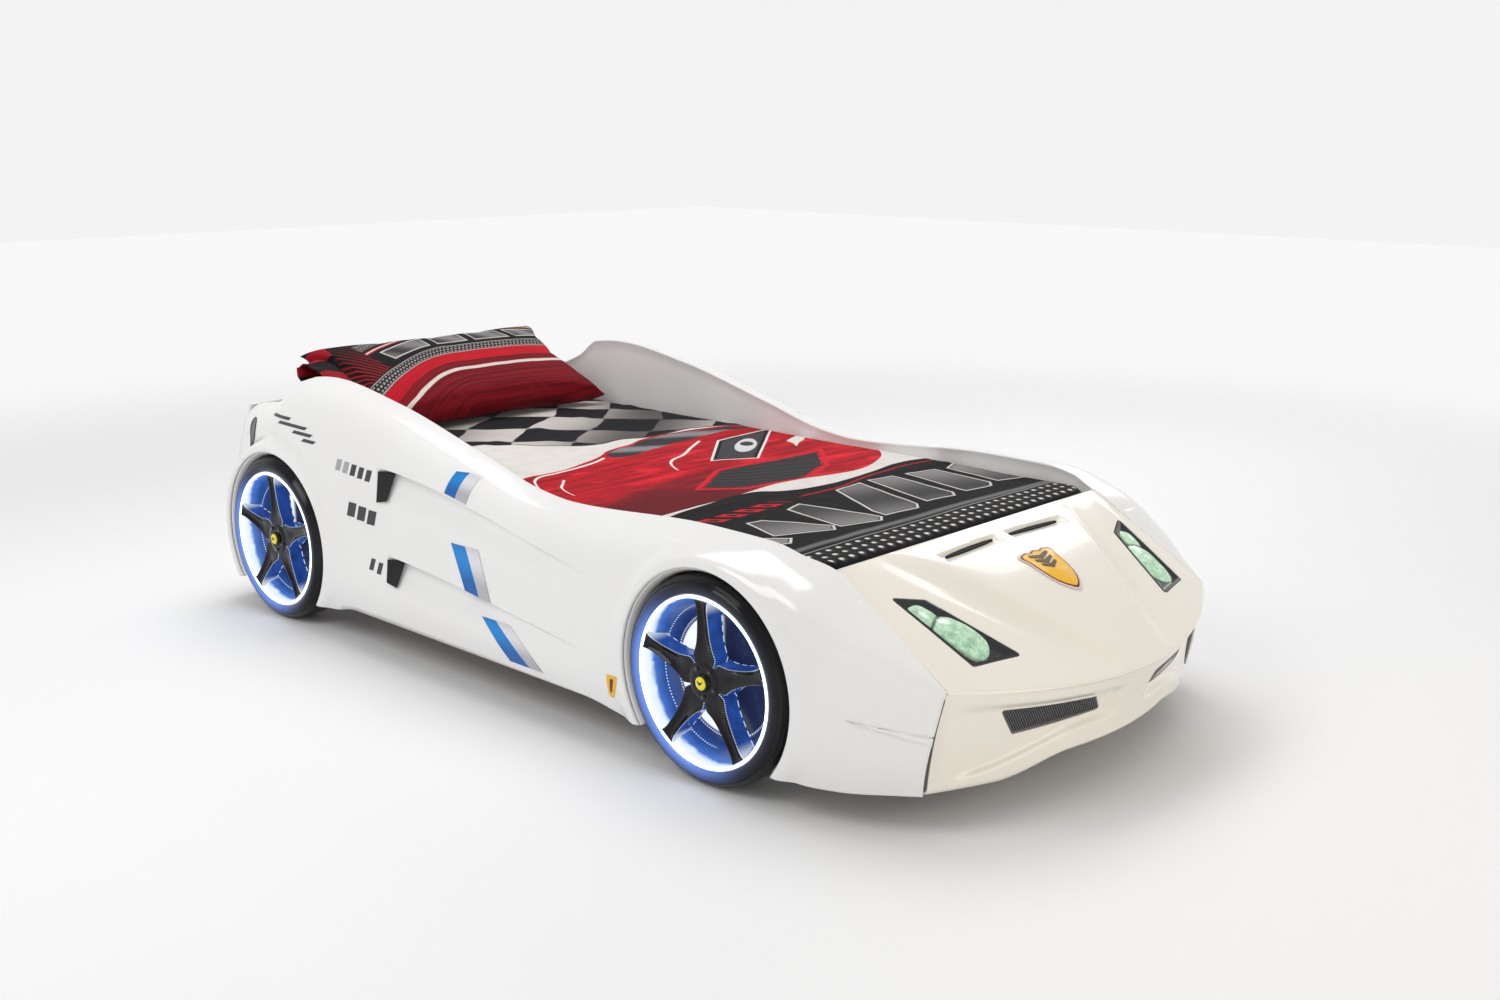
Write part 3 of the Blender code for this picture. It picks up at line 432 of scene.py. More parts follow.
def body_bottom(y):
    """Height of the lower edge of the sides: lower beside the wheels and at the nose."""
    return line([(CORNER_Y, SKIRT_BOTTOM + 0.006), (OPEN_Y, SKIRT_BOTTOM),
                 (FRONT_HUB_Y + 0.19, SKIRT_BOTTOM + 0.004), (FRONT_HUB_Y + 0.34, BODY_BOTTOM),
                 (REAR_HUB_Y - 0.34, BODY_BOTTOM), (REAR_HUB_Y - 0.22, SKIRT_BOTTOM),
                 (TAIL_Y, SKIRT_BOTTOM + 0.004)], y)


def tail_lean(y, z):
    """How far a point near the tail moves forward, because the tail's top leans in."""
    return TAIL_LEAN * ease((z - 0.38) / (RAIL_TAIL - 0.38)) * ease((y - HEAD_Y + 0.06) / 0.08)


def rail_inner(y):
    """Half width at the rail's inner edge: the well wall, then the bonnet seam."""
    return line([(CORNER_Y, SEAM_WIDTH), (OPEN_Y, WELL_HALF - FRONT_NARROWING),
                 (OPEN_Y + 0.07, WELL_HALF), (TAIL_Y, WELL_HALF)], y)


def sill_half(y):
    """Half width at the sill, narrowing round the corner of the nose and to the tail."""
    return line([(CORNER_Y, SEAM_WIDTH + 0.006), (CORNER_Y + 0.0585, BODY_HALF - 0.083),
                 (OPEN_Y - 0.105, BODY_HALF - 0.022), (OPEN_Y - 0.03, BODY_HALF - 0.002),
                 (FRONT_HUB_Y, BODY_HALF), (REAR_HUB_Y, BODY_HALF),
                 (TAIL_Y, BODY_HALF - 0.022)], y)


def shoulder_half(y):
    """Half width where the shoulder has rolled down into the side."""
    return line([(CORNER_Y, SEAM_WIDTH + 0.004), (CORNER_Y + 0.0585, BODY_HALF - 0.088),
                 (OPEN_Y - 0.105, BODY_HALF - 0.032), (OPEN_Y, BODY_HALF - 0.014),
                 (FRONT_HUB_Y, BODY_HALF - 0.010), (FRONT_HUB_Y + 0.45, BODY_HALF - 0.030),
                 (REAR_HUB_Y - 0.35, BODY_HALF - 0.026), (REAR_HUB_Y, BODY_HALF - 0.036),
                 (TAIL_Y, BODY_HALF - 0.074)], y)


def shoulder_drop(y):
    """Height over which the shoulder rolls."""
    return line([(CORNER_Y, 0.030), (OPEN_Y - 0.08, 0.048), (FRONT_HUB_Y, 0.066),
                 (FRONT_HUB_Y + 0.45, 0.090), (REAR_HUB_Y - 0.2, 0.110), (TAIL_Y, 0.075)], y)


def crease_heights(y):
    """Heights of the two long creases along the side, upper and lower."""
    top = rail_height(y)
    upper = line([(CORNER_Y, 0.215), (FRONT_HUB_Y, 0.322), (SCOOP_FRONT_Y, 0.339),
                  (SCOOP_Y, 0.446), (TAIL_Y, 0.410)], y)
    lower = line([(CORNER_Y, 0.165), (FRONT_HUB_Y, 0.184), (SCOOP_FRONT_Y, 0.193),
                  (SCOOP_Y, 0.253), (TAIL_Y, 0.250)], y)
    upper = np.minimum(upper, top - 0.175 * (top - BODY_BOTTOM))
    return upper, np.minimum(lower, upper - 0.03)


def scoop_depth(y, end):
    """Depth of the side scoop that ends at a Y: a long ramp in, a short wall out."""
    ramp = np.clip((y - SCOOP_FRONT_Y) / (end - SCOOP_WALL - SCOOP_FRONT_Y), 0, 1)
    wall = np.clip((end - y) / SCOOP_WALL, 0, 1)
    return SCOOP_DEPTH * np.minimum(ramp, wall)


def scoop_section(below, height):
    """Share of the scoop's depth at a distance below its crease, with softened corners."""
    inward = ease(below / 0.008)
    outward = ease(1.0 - below / height) * 0.5 + np.clip(1 - below / height, 0, 1) * 0.5
    return np.where(below > 0, inward * outward, 0.0)


def side_half(y, z):
    """Half width of the side at height z: a rolled shoulder over a leaning side with scoops."""
    top, inner, drop = rail_height(y), rail_inner(y), shoulder_drop(y)
    outer, sill = shoulder_half(y), sill_half(y)
    rise = np.clip((z - (top - drop)) / drop, 0, 1)
    shoulder = inner + (outer - inner) * (1 - rise**2.3)**(1 / 2.3)
    lean = np.clip((top - drop - z) / np.maximum(top - drop - SILL_HEIGHT, 0.01), 0, 1)
    late = np.clip((lean - 0.75) / 0.25, 0, 1)
    lean = np.minimum(lean, 0.75) + 0.25 * (late - late**2 / 2)
    tuck = np.clip((SILL_HEIGHT - z) / (SILL_HEIGHT - SKIRT_BOTTOM), 0, 1)
    half = shoulder + (sill - outer) * lean - 0.016 * tuck**2
    for crease, height, end in zip(crease_heights(y), (0.085, 0.082), (SCOOP_Y, LOWER_SCOOP_Y)):
        half = half - scoop_depth(y, end) * scoop_section(crease - z, height)
    for hub in (FRONT_HUB_Y, REAR_HUB_Y):
        radius = np.hypot(y - hub, z - HUB_Z)
        flare = 1 - ease((radius - ARCH_RADIUS - 0.012) / 0.034)
        half = half + np.maximum(WHEEL_FACE - 0.001 - half, -0.01) * flare
        roll = np.clip((ARCH_RADIUS + 0.007 - radius) / 0.007, 0, 1)
        half = half - 0.007 * (1 - np.sqrt(1 - roll**2)) * (radius < ARCH_RADIUS + 0.007)
    return half


def bonnet_front(x):
    """Y of the crease between bonnet and bumper."""
    return NOSE_Y + CORNER_SETBACK * (np.abs(x) / SEAM_WIDTH)**2


SLOT_OUTER, SLOT_INNER = (0.193, -0.066), (0.023, -0.060)


def slot_recess(x, y):
    """Depth of the two stepped recesses round the bonnet's air slots."""
    along = (np.abs(x) - SLOT_INNER[0]) / (SLOT_OUTER[0] - SLOT_INNER[0])
    middle = OPEN_Y + SLOT_INNER[1] + (SLOT_OUTER[1] - SLOT_INNER[1]) * along
    ahead = middle - y
    inside = ease((along + 0.04) / 0.03) * ease((1.10 - along) / 0.06)
    return inside * 0.0080 * ease((ahead + 0.013) / 0.003) * (1 - ease((ahead + 0.004) / 0.030))


def bonnet_height(x, y):
    """Height of the bonnet, with its raised middle narrowing towards the nose."""
    front = bonnet_front(x)
    run = np.clip((OPEN_Y - y) / (OPEN_Y - front), 0, 1)
    tip = NOSE_TIP_HEIGHT + (NOSE_SEAM_HEIGHT - NOSE_TIP_HEIGHT) * (np.abs(x) / SEAM_WIDTH)**2
    low = run**1.12
    high = run**1.6
    edge = 0.280 - 0.56 * (OPEN_Y - 0.03 - y)
    middle = ease((edge + 0.022 - np.abs(x)) / 0.044)
    side = ease((np.abs(x) - SEAM_WIDTH + 0.06) / 0.05)
    share = low + (high - low) * middle + (run - low) * side
    groove = 0.005 * 4 * run * (1 - run) * np.exp(-((np.abs(x) - edge - 0.02) / 0.03)**2)
    return RAIL_SEAM + (tip - RAIL_SEAM) * share - groove


def bumper_lip(x):
    """Y and Z of the bumper's lower edge."""
    share = np.abs(x) / SEAM_WIDTH
    y = NOSE_Y + 0.044 + 0.120 * share**1.9
    z = LIP_CENTRE_HEIGHT + (LIP_SIDE_HEIGHT - LIP_CENTRE_HEIGHT) * ease((np.abs(x) - 0.16) / 0.17)
    return y, z


def grille_recess(x, z):
    """How far the bumper is pressed in round its grilles, over the rolled lower lip."""
    ax = np.abs(x)
    shelf = 0.140 - 0.052 * ease((ax - 0.12) / 0.30)
    ceiling = 0.206 + 0.085 * (ax - 0.10)
    rise = ease((z - shelf) / 0.016) * (1 - ease((z - ceiling + 0.012) / 0.020))
    ends = ease((ax - 0.045) / 0.045) * (1 - ease((ax - 0.36) / 0.08))
    return 0.013 * rise * ends


def bumper_y(x, z):
    """Y of the bumper face: it falls back quickly under the crease, then runs to the lip."""
    share = np.abs(x) / SEAM_WIDTH
    top = NOSE_TIP_HEIGHT + (NOSE_SEAM_HEIGHT - NOSE_TIP_HEIGHT) * share**2
    lip_y, lip_z = bumper_lip(x)
    down = np.clip((top - z) / (top - lip_z), 0, 1)
    front = bonnet_front(x)
    return front + (lip_y - front) * (1 - (1 - down)**1.8) + grille_recess(x, z)


# ---------------------------------------------------------------- finishes
def white_plastic(name, warmth):
    """Glossy moulded plastic: a faint cloud in its colour, thin dust in its gloss, orange peel."""
    finish = Finish(name, Specular_IOR_Level=0.5, Coat_Roughness=0.05)
    where = finish.place()
    cloud = finish.noise(where, 2.2, 3.0).over(0.3, 0.7)
    cool = (0.83 + 0.01 * warmth, 0.83 - 0.03 * warmth, 0.82 - 0.10 * warmth)
    warm = (0.80 + 0.01 * warmth, 0.79 - 0.02 * warmth, 0.77 - 0.09 * warmth)
    finish.set("Base Color", finish.mix(cloud, cool, warm))
    dust = finish.noise(where, 55.0, 4.0, 0.6).over(0.35, 0.75)
    finish.set("Roughness", dust * 0.09 + 0.15)
    finish.set("Coat Weight", 0.45 - dust * 0.12)
    finish.bump(finish.noise(where, 85.0, 1.0), 0.0006, 0.10)
    return finish


def black_plastic(name, colour=(0.010, 0.010, 0.012), rough=0.13):
    """Glossy black moulding with a fine haze of dust."""
    finish = Finish(name, Specular_IOR_Level=0.55)
    where = finish.place()
    dust = finish.noise(where, 120.0, 3.0).over(0.45, 0.8)
    finish.set("Base Color", finish.mix(dust, colour, tuple(c + 0.012 for c in colour)))
    finish.set("Roughness", finish.noise(where, 30.0, 3.0) * 0.16 + rough)
    finish.set("Coat Weight", 0.5 - dust * 0.2)
    return finish


def wood(name, pale, dark, along=1):
    """Planed softwood: stretched rings along the board, pores and a light nap."""
    finish = Finish(name, Specular_IOR_Level=0.3)
    scaled = [part * (1.6 if i == along else 22.0) for i, part in enumerate(finish.parts(finish.place()))]
    stretched = finish.vector(*scaled)
    ring = finish.noise(stretched, 1.0, 4.0, 0.6)
    bands = (ring * 34.0).sin().over(-1.0, 1.0)
    pores = finish.noise(stretched, 14.0, 2.0).over(0.55, 0.75)
    colour = finish.mix(bands * 0.6, pale, dark)
    finish.set("Base Color", finish.mix(pores * 0.5, colour, tuple(c * 0.6 for c in dark)))
    finish.set("Roughness", bands * 0.10 + 0.52)
    finish.bump(pores, 0.0004, 0.5)
    return finish


def diamond_mesh(name):
    """Dark pressed mesh: its holes are read from the surface's own height, stored in v; the sunk holes are
    painted near black as painted shade, and the ridges carry the mesh's grey, lightened as a painted
    highlight.
    """
    finish = Finish(name, Specular_IOR_Level=0.5)
    v = finish.parts(finish.layout(), 2)[1]
    speck = finish.noise(finish.place(), 400.0, 2.0).over(0.4, 0.7)
    # painted shade in the sunk holes, near black; painted highlight on the ridges, a lightened grey
    finish.set("Base Color", finish.mix(v, (0.004, 0.004, 0.005), finish.mix(speck, (0.10, 0.10, 0.105),
                                                                         (0.19, 0.19, 0.195))))
    finish.set("Roughness", v * -0.35 + 0.7)
    return finish


def tyre_rubber():
    """Glossy black show tyre: fine moulded rings and the blue light that spills over its inner edge."""
    finish = Finish("glossy_tyre_black", Specular_IOR_Level=0.30)
    where = finish.place()
    x, y, z = finish.parts(where)
    reach = reduce(Wire.min, [finish.node("ShaderNodeVectorMath", {"operation": "LENGTH"},
                                          {0: finish.vector(0.0, y - hub, z - HUB_Z)}, output=1)
                              for hub in (FRONT_HUB_Y, REAR_HUB_Y)])
    rings = (reach * 2600.0).sin().over(-0.6, 1.0)
    lean = rear_lean(y, z)[0]
    spill = reach.soft(LED_RADIUS + 0.034, LED_RADIUS - 0.002)
    spill = spill * abs(x).over(WHEEL_FACE - 0.02, WHEEL_FACE - 0.008) * (lean * 0.9 + 0.1)
    haze = finish.noise(where, 40.0, 3.0)
    finish.set("Base Color", finish.mix(spill * 0.6, (0.004, 0.004, 0.005), (0.02, 0.04, 0.16)))
    finish.set("Roughness", haze * 0.06 + 0.06)
    finish.set("Emission Color", finish.mix(spill ** 1.6, (0.0, 0.0, 0.0), (0.16, 0.30, 0.85)))
    finish.set("Emission Strength", 1.0)
    finish.bump(rings, 0.0003, 0.5)
    return finish


def lit_barrel():
    """The dish behind the spokes: a painted glow, white by the lamps, falling through blue to a dark floor.

    v runs down the dish from the lamps to the floor's middle, u round it.
    """
    finish = Finish("blue_lit_dish", Specular_IOR_Level=0.5, Roughness=0.22)
    u, v = finish.parts(finish.layout(), 2)
    y, z = finish.parts(finish.place())[1:]
    streak = finish.noise(finish.vector(u * 9.0, v * 2.0, 0.0), 3.0, 3.0)
    lean, behind = rear_lean(y, z)
    glow = finish.node("ShaderNodeValToRGB", {"stops": [
        (0.0, (1.0, 1.0, 1.0)), (0.15, (0.75, 0.87, 1.0)), (0.21, (0.06, 0.17, 0.58)),
        (0.34, (0.020, 0.070, 0.28)), (0.60, (0.008, 0.022, 0.10)), (0.70, (0.010, 0.014, 0.040)),
        (1.0, (0.008, 0.011, 0.032))]},
        {0: v * 0.90 + 0.13 + streak * 0.12 - 0.06 - lean * 0.14})
    # painted light: dotted white threads of the lamps' light round the dish, and a pale lit patch on the rear
    # half of its floor
    dots = (u * 700.0).sin().over(-0.2, 0.5)
    thread = (abs(v - 0.605).over(0.012, 0.004)).max(abs(v - 0.42).over(0.012, 0.004) * behind) * dots
    pale = v.over(0.625, 0.64) * behind
    colour = finish.mix(thread, glow, (0.70, 0.84, 1.0))
    colour = finish.mix(pale, colour, (0.80, 0.84, 0.92))
    finish.set("Base Color", finish.mix(pale, (0.010, 0.018, 0.05), (0.35, 0.35, 0.37)))
    finish.set("Emission Color", colour)
    finish.set("Emission Strength", 1.0)
    return finish


def rear_lean(y, z):
    """Where a wheel's light shows most: a share that grows to the rear and down, and the rear half itself."""
    leans, halves = [], []
    for hub in (FRONT_HUB_Y, REAR_HUB_Y):
        near = abs(y - hub).over(0.30, 0.29)
        leans.append(((y - hub) * 0.85 - (z - HUB_Z) * 0.55).soft(-0.05, 0.14) * near)
        halves.append((y - hub).soft(-0.004, 0.012) * near)
    return reduce(Wire.max, leans), reduce(Wire.max, halves)


def spoke_black():
    """Glossy black spokes whose flanks carry the blue light and broken white threads of it.

    v runs across a spoke: 0 and 1 at the feet of the flanks, 0.3 and 0.7 at its two edges.
    """
    finish = Finish("spoke_gloss_black", Specular_IOR_Level=0.28)
    u, v = finish.parts(finish.layout(), 2)
    across = abs(v - 0.5) * 2.0
    flank = across.over(0.405, 0.43)
    foot = across.over(0.95, 0.985)
    edge = abs(across - 0.415).over(0.022, 0.010)
    dots = (u * 1500.0).sin().over(-0.3, 0.4)
    dashes = (u * 330.0).sin().over(-0.55, -0.2)
    tip = u.soft(0.128, 0.156)
    cloud = finish.noise(finish.place(), 26.0, 3.0).over(0.3, 0.7)
    blue = finish.mix(cloud, (0.006, 0.022, 0.12), (0.016, 0.065, 0.29))
    glow = finish.mix(flank, (0.0, 0.0, 0.0), blue)
    glow = finish.mix((edge * dots).max(foot * dashes), glow, (0.70, 0.86, 1.0))
    # painted highlight: the lamps' light whitens each spoke's edges and flanks near its tip
    glow = finish.mix(tip * edge.max(flank * 0.6), glow, (0.85, 0.95, 1.0))
    finish.set("Base Color", finish.mix(flank, (0.003, 0.003, 0.005), (0.01, 0.02, 0.08)))
    finish.set("Roughness", cloud * 0.05 + 0.07)
    finish.set("Emission Color", glow)
    finish.set("Emission Strength", 1.0)
    return finish


def light_strip():
    """The ring of small lamps: a white diffuser with a slightly brighter point at each lamp."""
    finish = Finish("ring_of_small_lamps", Roughness=0.4)
    lamp = (finish.parts(finish.layout(), 1)[0] * 900.0).sin().over(-1.0, 1.0)
    finish.set("Base Color", (0.9, 0.95, 1.0))
    finish.set("Emission Color", finish.mix(lamp, (0.62, 0.80, 1.0), (1.0, 1.0, 1.0)))
    finish.set("Emission Strength", 2.5)
    return finish


def headlight_glass():
    """Pale green lens, lit from inside: a bright spot in each lobe and the grain of its moulded ribs."""
    finish = Finish("lit_green_lens", Roughness=0.08, Specular_IOR_Level=0.6)
    u, v = finish.parts(finish.layout(), 2)
    ribs = finish.noise(finish.vector(u * 60.0, v * 9.0, 0.0), 3.0, 4.0, 0.6)
    blots = finish.noise(finish.place(), 75.0, 4.0, 0.65).over(0.36, 0.62)
    body = finish.mix(blots, (0.24, 0.41, 0.27), (0.50, 0.70, 0.50))
    body = finish.mix(abs(u - 0.335).over(0.028, 0.008), body, (0.03, 0.06, 0.035))
    near = (((u - 0.42) * (u - 0.42)) * 60.0 + ((v - 0.40) * (v - 0.40)) * 16.0).soft(0.62, 0.0)
    far = (((u - 0.20) * (u - 0.20)) * 70.0 + ((v - 0.60) * (v - 0.60)) * 20.0).soft(0.50, 0.0)
    colour = finish.mix(near.max(far * 0.8) * 0.85, body, (0.92, 1.0, 0.93))
    rim = abs(v - 0.5).over(0.42, 0.5)
    finish.set("Base Color", finish.mix(rim, (0.06, 0.10, 0.07), (0.01, 0.02, 0.015)))
    finish.set("Emission Color", finish.mix(rim * 0.85, colour, (0.02, 0.05, 0.03)))
    finish.set("Emission Strength", 0.95)
    finish.bump(ribs, 0.0012, 0.5)
    return finish


def stripe_finish(name, colour, bright, metallic, rough):
    """A foil stripe: brushed a little along its length, with a painted sheen that makes it paler where it
    rolls over the shoulder.
    """
    finish = Finish(name, Metallic=metallic)
    u, v = finish.parts(finish.layout(), 2)
    brush = finish.noise(finish.vector(u * 60.0, v * 3.0, 0.0), 4.0, 3.0)
    # painted sheen: the foil runs to its brighter copy in a band across its upper part and darkens towards
    # its foot
    sheen = (v * 5.0 + brush * 0.7).sin().over(-0.6, 1.0)
    finish.set("Base Color", finish.mix(sheen, colour, bright))
    finish.set("Roughness", brush * 0.15 + rough)
    return finish


def plain_print(name, colour, rough=0.35):
    """A thin printed film with a slight grain."""
    finish = Finish(name)
    grain = finish.noise(finish.place(), 300.0, 3.0)
    finish.set("Base Color", finish.mix(grain, colour, tuple(min(1.0, c * 1.35 + 0.004) for c in colour)))
    finish.set("Roughness", grain * 0.1 + rough)
    return finish


def cloth_weave(finish, colour):
    """Fine plain weave, a soft nap and slow shading over a printed colour."""
    where = finish.place()
    x, y = finish.parts(where, 2)
    warp = (x * 4200.0).sin() * (y * 4200.0).sin()
    nap = finish.noise(where, 700.0, 2.0)
    slow = finish.noise(where, 14.0, 4.0, 0.6)
    shade = warp * 0.05 + nap * 0.10 + slow * 0.22 + 0.80
    shaded = finish.node("ShaderNodeVectorMath", {"operation": "SCALE"}, {0: colour, 3: shade})
    finish.set("Base Color", shaded)
    finish.set("Roughness", nap * 0.12 + 0.74)
    finish.bump(warp + nap, 0.0004, 0.35)


def bedspread_print():
    """Printed spread: studs at the foot, outlined blocks on black, a red racing shape, a chequered flag."""
    finish = Finish("printed_bedspread", Sheen_Weight=0.02, Sheen_Roughness=0.5, Specular_IOR_Level=0.10)
    flat = finish.layout()
    x, y = finish.parts(flat, 2)
    wobble = finish.noise(flat, 5.0, 2.0)
    fine = finish.noise(flat, 26.0, 3.0)
    black, white, red = (0.006, 0.005, 0.006), (0.72, 0.69, 0.65), (0.50, 0.004, 0.014)
    dark_red, chalk, ink = (0.13, 0.004, 0.010), (0.80, 0.76, 0.72), (0.05, 0.05, 0.055)

    def crisp(distance, width=0.0016):
        return distance.over(-width / 2, width / 2)

    # white ground, warm and slightly mottled
    colour = finish.mix(fine.over(0.5, 0.8) * 0.5, white, (0.60, 0.56, 0.52))

    # chequered flag, waving: two families of bands at right angles, bent by a slow wave
    wave = (x * 9.0 + y * 4.0).sin() * 0.016 + (wobble - 0.5) * 0.05
    across = x * 0.64 - y * 0.77 + wave
    along = x * 0.77 + y * 0.64 + wave
    pitch = math.pi / 0.150
    check = ((across * pitch + 0.5).sin() * (along * pitch + 0.9).sin()).over(-0.02, 0.02)
    fold = (across * 11.0 + 0.6).sin().over(-1.0, 1.0)
    pale = finish.mix(fold, (0.10, 0.09, 0.088), (0.58, 0.54, 0.50))
    squares = finish.mix(check, (0.008, 0.008, 0.011), pale)
    flag_low = finish.profile(x, [(-0.46, 0.80), (-0.30, 0.640), (-0.218, 0.569), (-0.155, 0.502),
                                  (-0.088, 0.417), (-0.035, 0.366), (0.02, 0.360), (0.075, 0.369),
                                  (0.153, 0.343), (0.30, 0.335), (0.46, 0.255)], 0.0, 1.0)
    colour = finish.layers(
        colour,
        (crisp(y - flag_low), squares),
        (abs(y - flag_low).over(0.006, 0.003), ink))

    # the red racing shape between its upper and lower lines, with streaks of darker red
    top = finish.profile(x, [(-0.46, 0.05), (-0.41, 0.15), (-0.365, 0.194), (-0.30, 0.192), (-0.258, 0.193),
                             (-0.17, 0.215), (-0.099, 0.240), (-0.043, 0.275), (0.058, 0.306), (0.135, 0.335),
                             (0.282, 0.323), (0.40, 0.29), (0.46, 0.25)], -0.4, 0.4)
    low = finish.profile(x, [(-0.46, -0.285), (-0.30, -0.272), (-0.13, -0.262), (0.0, -0.255), (0.11, -0.268),
                             (0.226, -0.285), (0.32, -0.26), (0.405, -0.206), (0.46, -0.13)], -0.4, 0.4)
    base = finish.profile(x, [(-0.46, -0.300), (-0.389, -0.294), (-0.302, -0.281), (-0.115, -0.270),
                              (-0.064, -0.318), (0.025, -0.340), (0.191, -0.326), (0.369, -0.312),
                              (0.46, -0.335)], -0.4, 0.4)
    streaks = finish.noise(finish.vector(x * 2.0, y * 26.0, 0.0), 2.2, 3.0)
    body = finish.mix(streaks.over(0.42, 0.66), red, (0.24, 0.003, 0.010))
    flare = finish.noise(finish.vector(x * 5.0 + y * 7.0, y * 14.0, 2.0), 1.6, 2.0)
    glint = finish.mix(flare.over(0.56, 0.66), body, (0.70, 0.012, 0.028))
    shade = (y + x * 0.10 + (wobble - 0.5) * 0.20).soft(-0.10, -0.21) * (x * -1.0).soft(-0.02, 0.16)
    body = finish.mix(shade, glint, dark_red)
    lower_shade = abs(y + 0.060 - x * 0.25 + (wobble - 0.5) * 0.08).soft(0.05, 0.02) * x.soft(0.10, -0.05)
    body = finish.mix(lower_shade * 0.7, body, dark_red)
    inside = crisp(top - y) * crisp(y - low)
    colour = finish.mix(inside, colour, body)

    # its windscreen, grey into black, under the upper line
    screen_low = finish.profile(x, [(-0.10, 0.235), (-0.069, 0.200), (0.06, 0.215), (0.20, 0.239),
                                    (0.35, 0.250), (0.46, 0.238)], -0.4, 0.4)
    screen = crisp(top - 0.012 - y) * crisp(y - screen_low) * x.over(-0.085, -0.080)
    glass = finish.mix((x * 22.0 + y * 30.0).sin().over(-0.2, 0.9), (0.035, 0.035, 0.04), (0.24, 0.24, 0.25))
    colour = finish.mix(screen, colour, glass)

    # white strokes: two by the near corner, one over the wing
    def stroke(points, width, low_y, high_y):
        path = finish.profile(x, points, -0.4, 0.4)
        return abs(y - path).over(width, width - 0.0016) * x.over(points[0][0], points[0][0] + 0.002) \
            * x.over(points[-1][0], points[-1][0] - 0.002) * crisp(y - low_y) * crisp(high_y - y)
    near = stroke([(-0.42, 0.04), (-0.385, 0.125), (-0.345, 0.172), (-0.28, 0.180), (-0.17, 0.196),
                   (-0.10, 0.222)], 0.0055, -0.2, 0.4)
    second = stroke([(-0.39, -0.01), (-0.365, 0.060), (-0.335, 0.095), (-0.31, 0.120)], 0.0050, -0.2, 0.4)
    wing = stroke([(-0.075, 0.00), (-0.03, 0.070), (0.05, 0.110), (0.135, 0.165), (0.20, 0.205)], 0.0055,
                  -0.2, 0.4)
    colour = finish.mix(near.max(second).max(wing) * inside, colour, chalk)

    # lamp: a dark leaf with pale glints, and the white flash beyond it
    lamp = finish.polygon(x, y, [(0.060, 0.015), (0.150, -0.030), (0.430, 0.186), (0.235, 0.165)])
    along, beside = (x - 0.24) * 0.80 + (y - 0.085) * 0.60, (y - 0.085) * 0.80 - (x - 0.24) * 0.60
    eye = ((along * along) * 130.0 + (beside * beside) * 1500.0).soft(1.1, 0.9)
    pupil = (((along - 0.02) * (along - 0.02)) * 900.0 + (beside * beside) * 2600.0).soft(0.9, 0.6)
    colour = finish.layers(
        colour,
        (crisp(lamp + 0.010), chalk),
        (crisp(lamp + 0.004), black))
    leaf = finish.mix(pupil, finish.mix(eye, ink, (0.66, 0.65, 0.64)), ink)
    colour = finish.mix(crisp(lamp - 0.004), colour, leaf)
    flash = finish.polygon(x, y, [(0.250, 0.005), (0.330, 0.000), (0.46, 0.075), (0.46, 0.150),
                                  (0.405, 0.135), (0.365, 0.060)])
    colour = finish.mix(crisp(flash + (fine - 0.5) * 0.02) * inside, colour, (0.74, 0.70, 0.66))

    # mouth: a black leaf of slanting slats
    mouth = finish.polygon(x, y, [(-0.155, -0.165), (-0.090, -0.225), (0.063, -0.250), (0.205, -0.190),
                                  (0.305, -0.088), (-0.012, -0.078)])
    slats = ((x * 0.8 + y * 0.6) * 420.0).sin().over(-0.3, 0.6)
    colour = finish.layers(
        colour,
        (crisp(mouth), finish.mix(slats, (0.010, 0.010, 0.012), (0.060, 0.056, 0.058))),
        (abs(mouth + 0.012).over(0.008, 0.004) * inside, (0.62, 0.010, 0.022)))

    # black ground, with thin red lines along its upper edge and a run of short slanting dashes
    night = crisp(base - y)
    colour = finish.mix(night, colour, black)
    thin = finish.profile(x, [(-0.46, -0.36), (-0.20, -0.372), (-0.053, -0.376), (0.045, -0.372),
                              (0.267, -0.341), (0.46, -0.350)], -0.4, 0.0)
    ribbon = abs(y - thin + (wobble - 0.5) * 0.02).over(0.0045, 0.0028) * x.over(-0.09, -0.06) * night
    colour = finish.mix(ribbon, colour, (0.40, 0.006, 0.015))
    slant = x + (y + 0.372) * 0.9
    dash = abs((slant / 0.052).fract() - 0.5).over(0.30, 0.27) * abs(y + 0.372).over(0.020, 0.018) \
        * slant.over(-0.352, -0.350) * slant.over(-0.140, -0.142)
    hole = abs((slant / 0.052).fract() - 0.5).over(0.14, 0.11) * abs(y + 0.372).over(0.009, 0.007)
    colour = finish.mix(dash * (1 - hole), colour, (0.55, 0.008, 0.020))

    # outlined grey blocks: slanting plates with a pale edge, shaded from top to bottom
    plates = reduce(Wire.max, [finish.polygon(x, y, corners) for corners in (
        [(-0.445, -0.560), (-0.360, -0.600), (-0.330, -0.575), (-0.400, -0.500), (-0.440, -0.490)],
        [(-0.345, -0.540), (-0.230, -0.600), (-0.205, -0.575), (-0.270, -0.440), (-0.310, -0.432)],
        [(-0.205, -0.590), (-0.110, -0.620), (-0.085, -0.600), (-0.125, -0.410), (-0.180, -0.425)],
        [(-0.075, -0.600), (0.020, -0.612), (0.045, -0.590), (0.115, -0.376), (0.020, -0.386),
         (-0.070, -0.560)],
        [(0.075, -0.590), (0.165, -0.600), (0.190, -0.575), (0.220, -0.385), (0.145, -0.372)],
        [(0.215, -0.590), (0.300, -0.600), (0.330, -0.575), (0.345, -0.410), (0.255, -0.392)],
        [(0.350, -0.580), (0.435, -0.600), (0.455, -0.480), (0.440, -0.395), (0.375, -0.420)])])
    metal = finish.mix((y * 16.0 + x * 5.0).sin().over(-1.0, 1.0), (0.055, 0.053, 0.055), (0.26, 0.25, 0.25))
    colour = finish.layers(
        colour,
        (crisp(plates), (0.62, 0.60, 0.57)),
        (crisp(plates - 0.0055), (0.03, 0.03, 0.03)),
        (crisp(plates - 0.0085), metal))

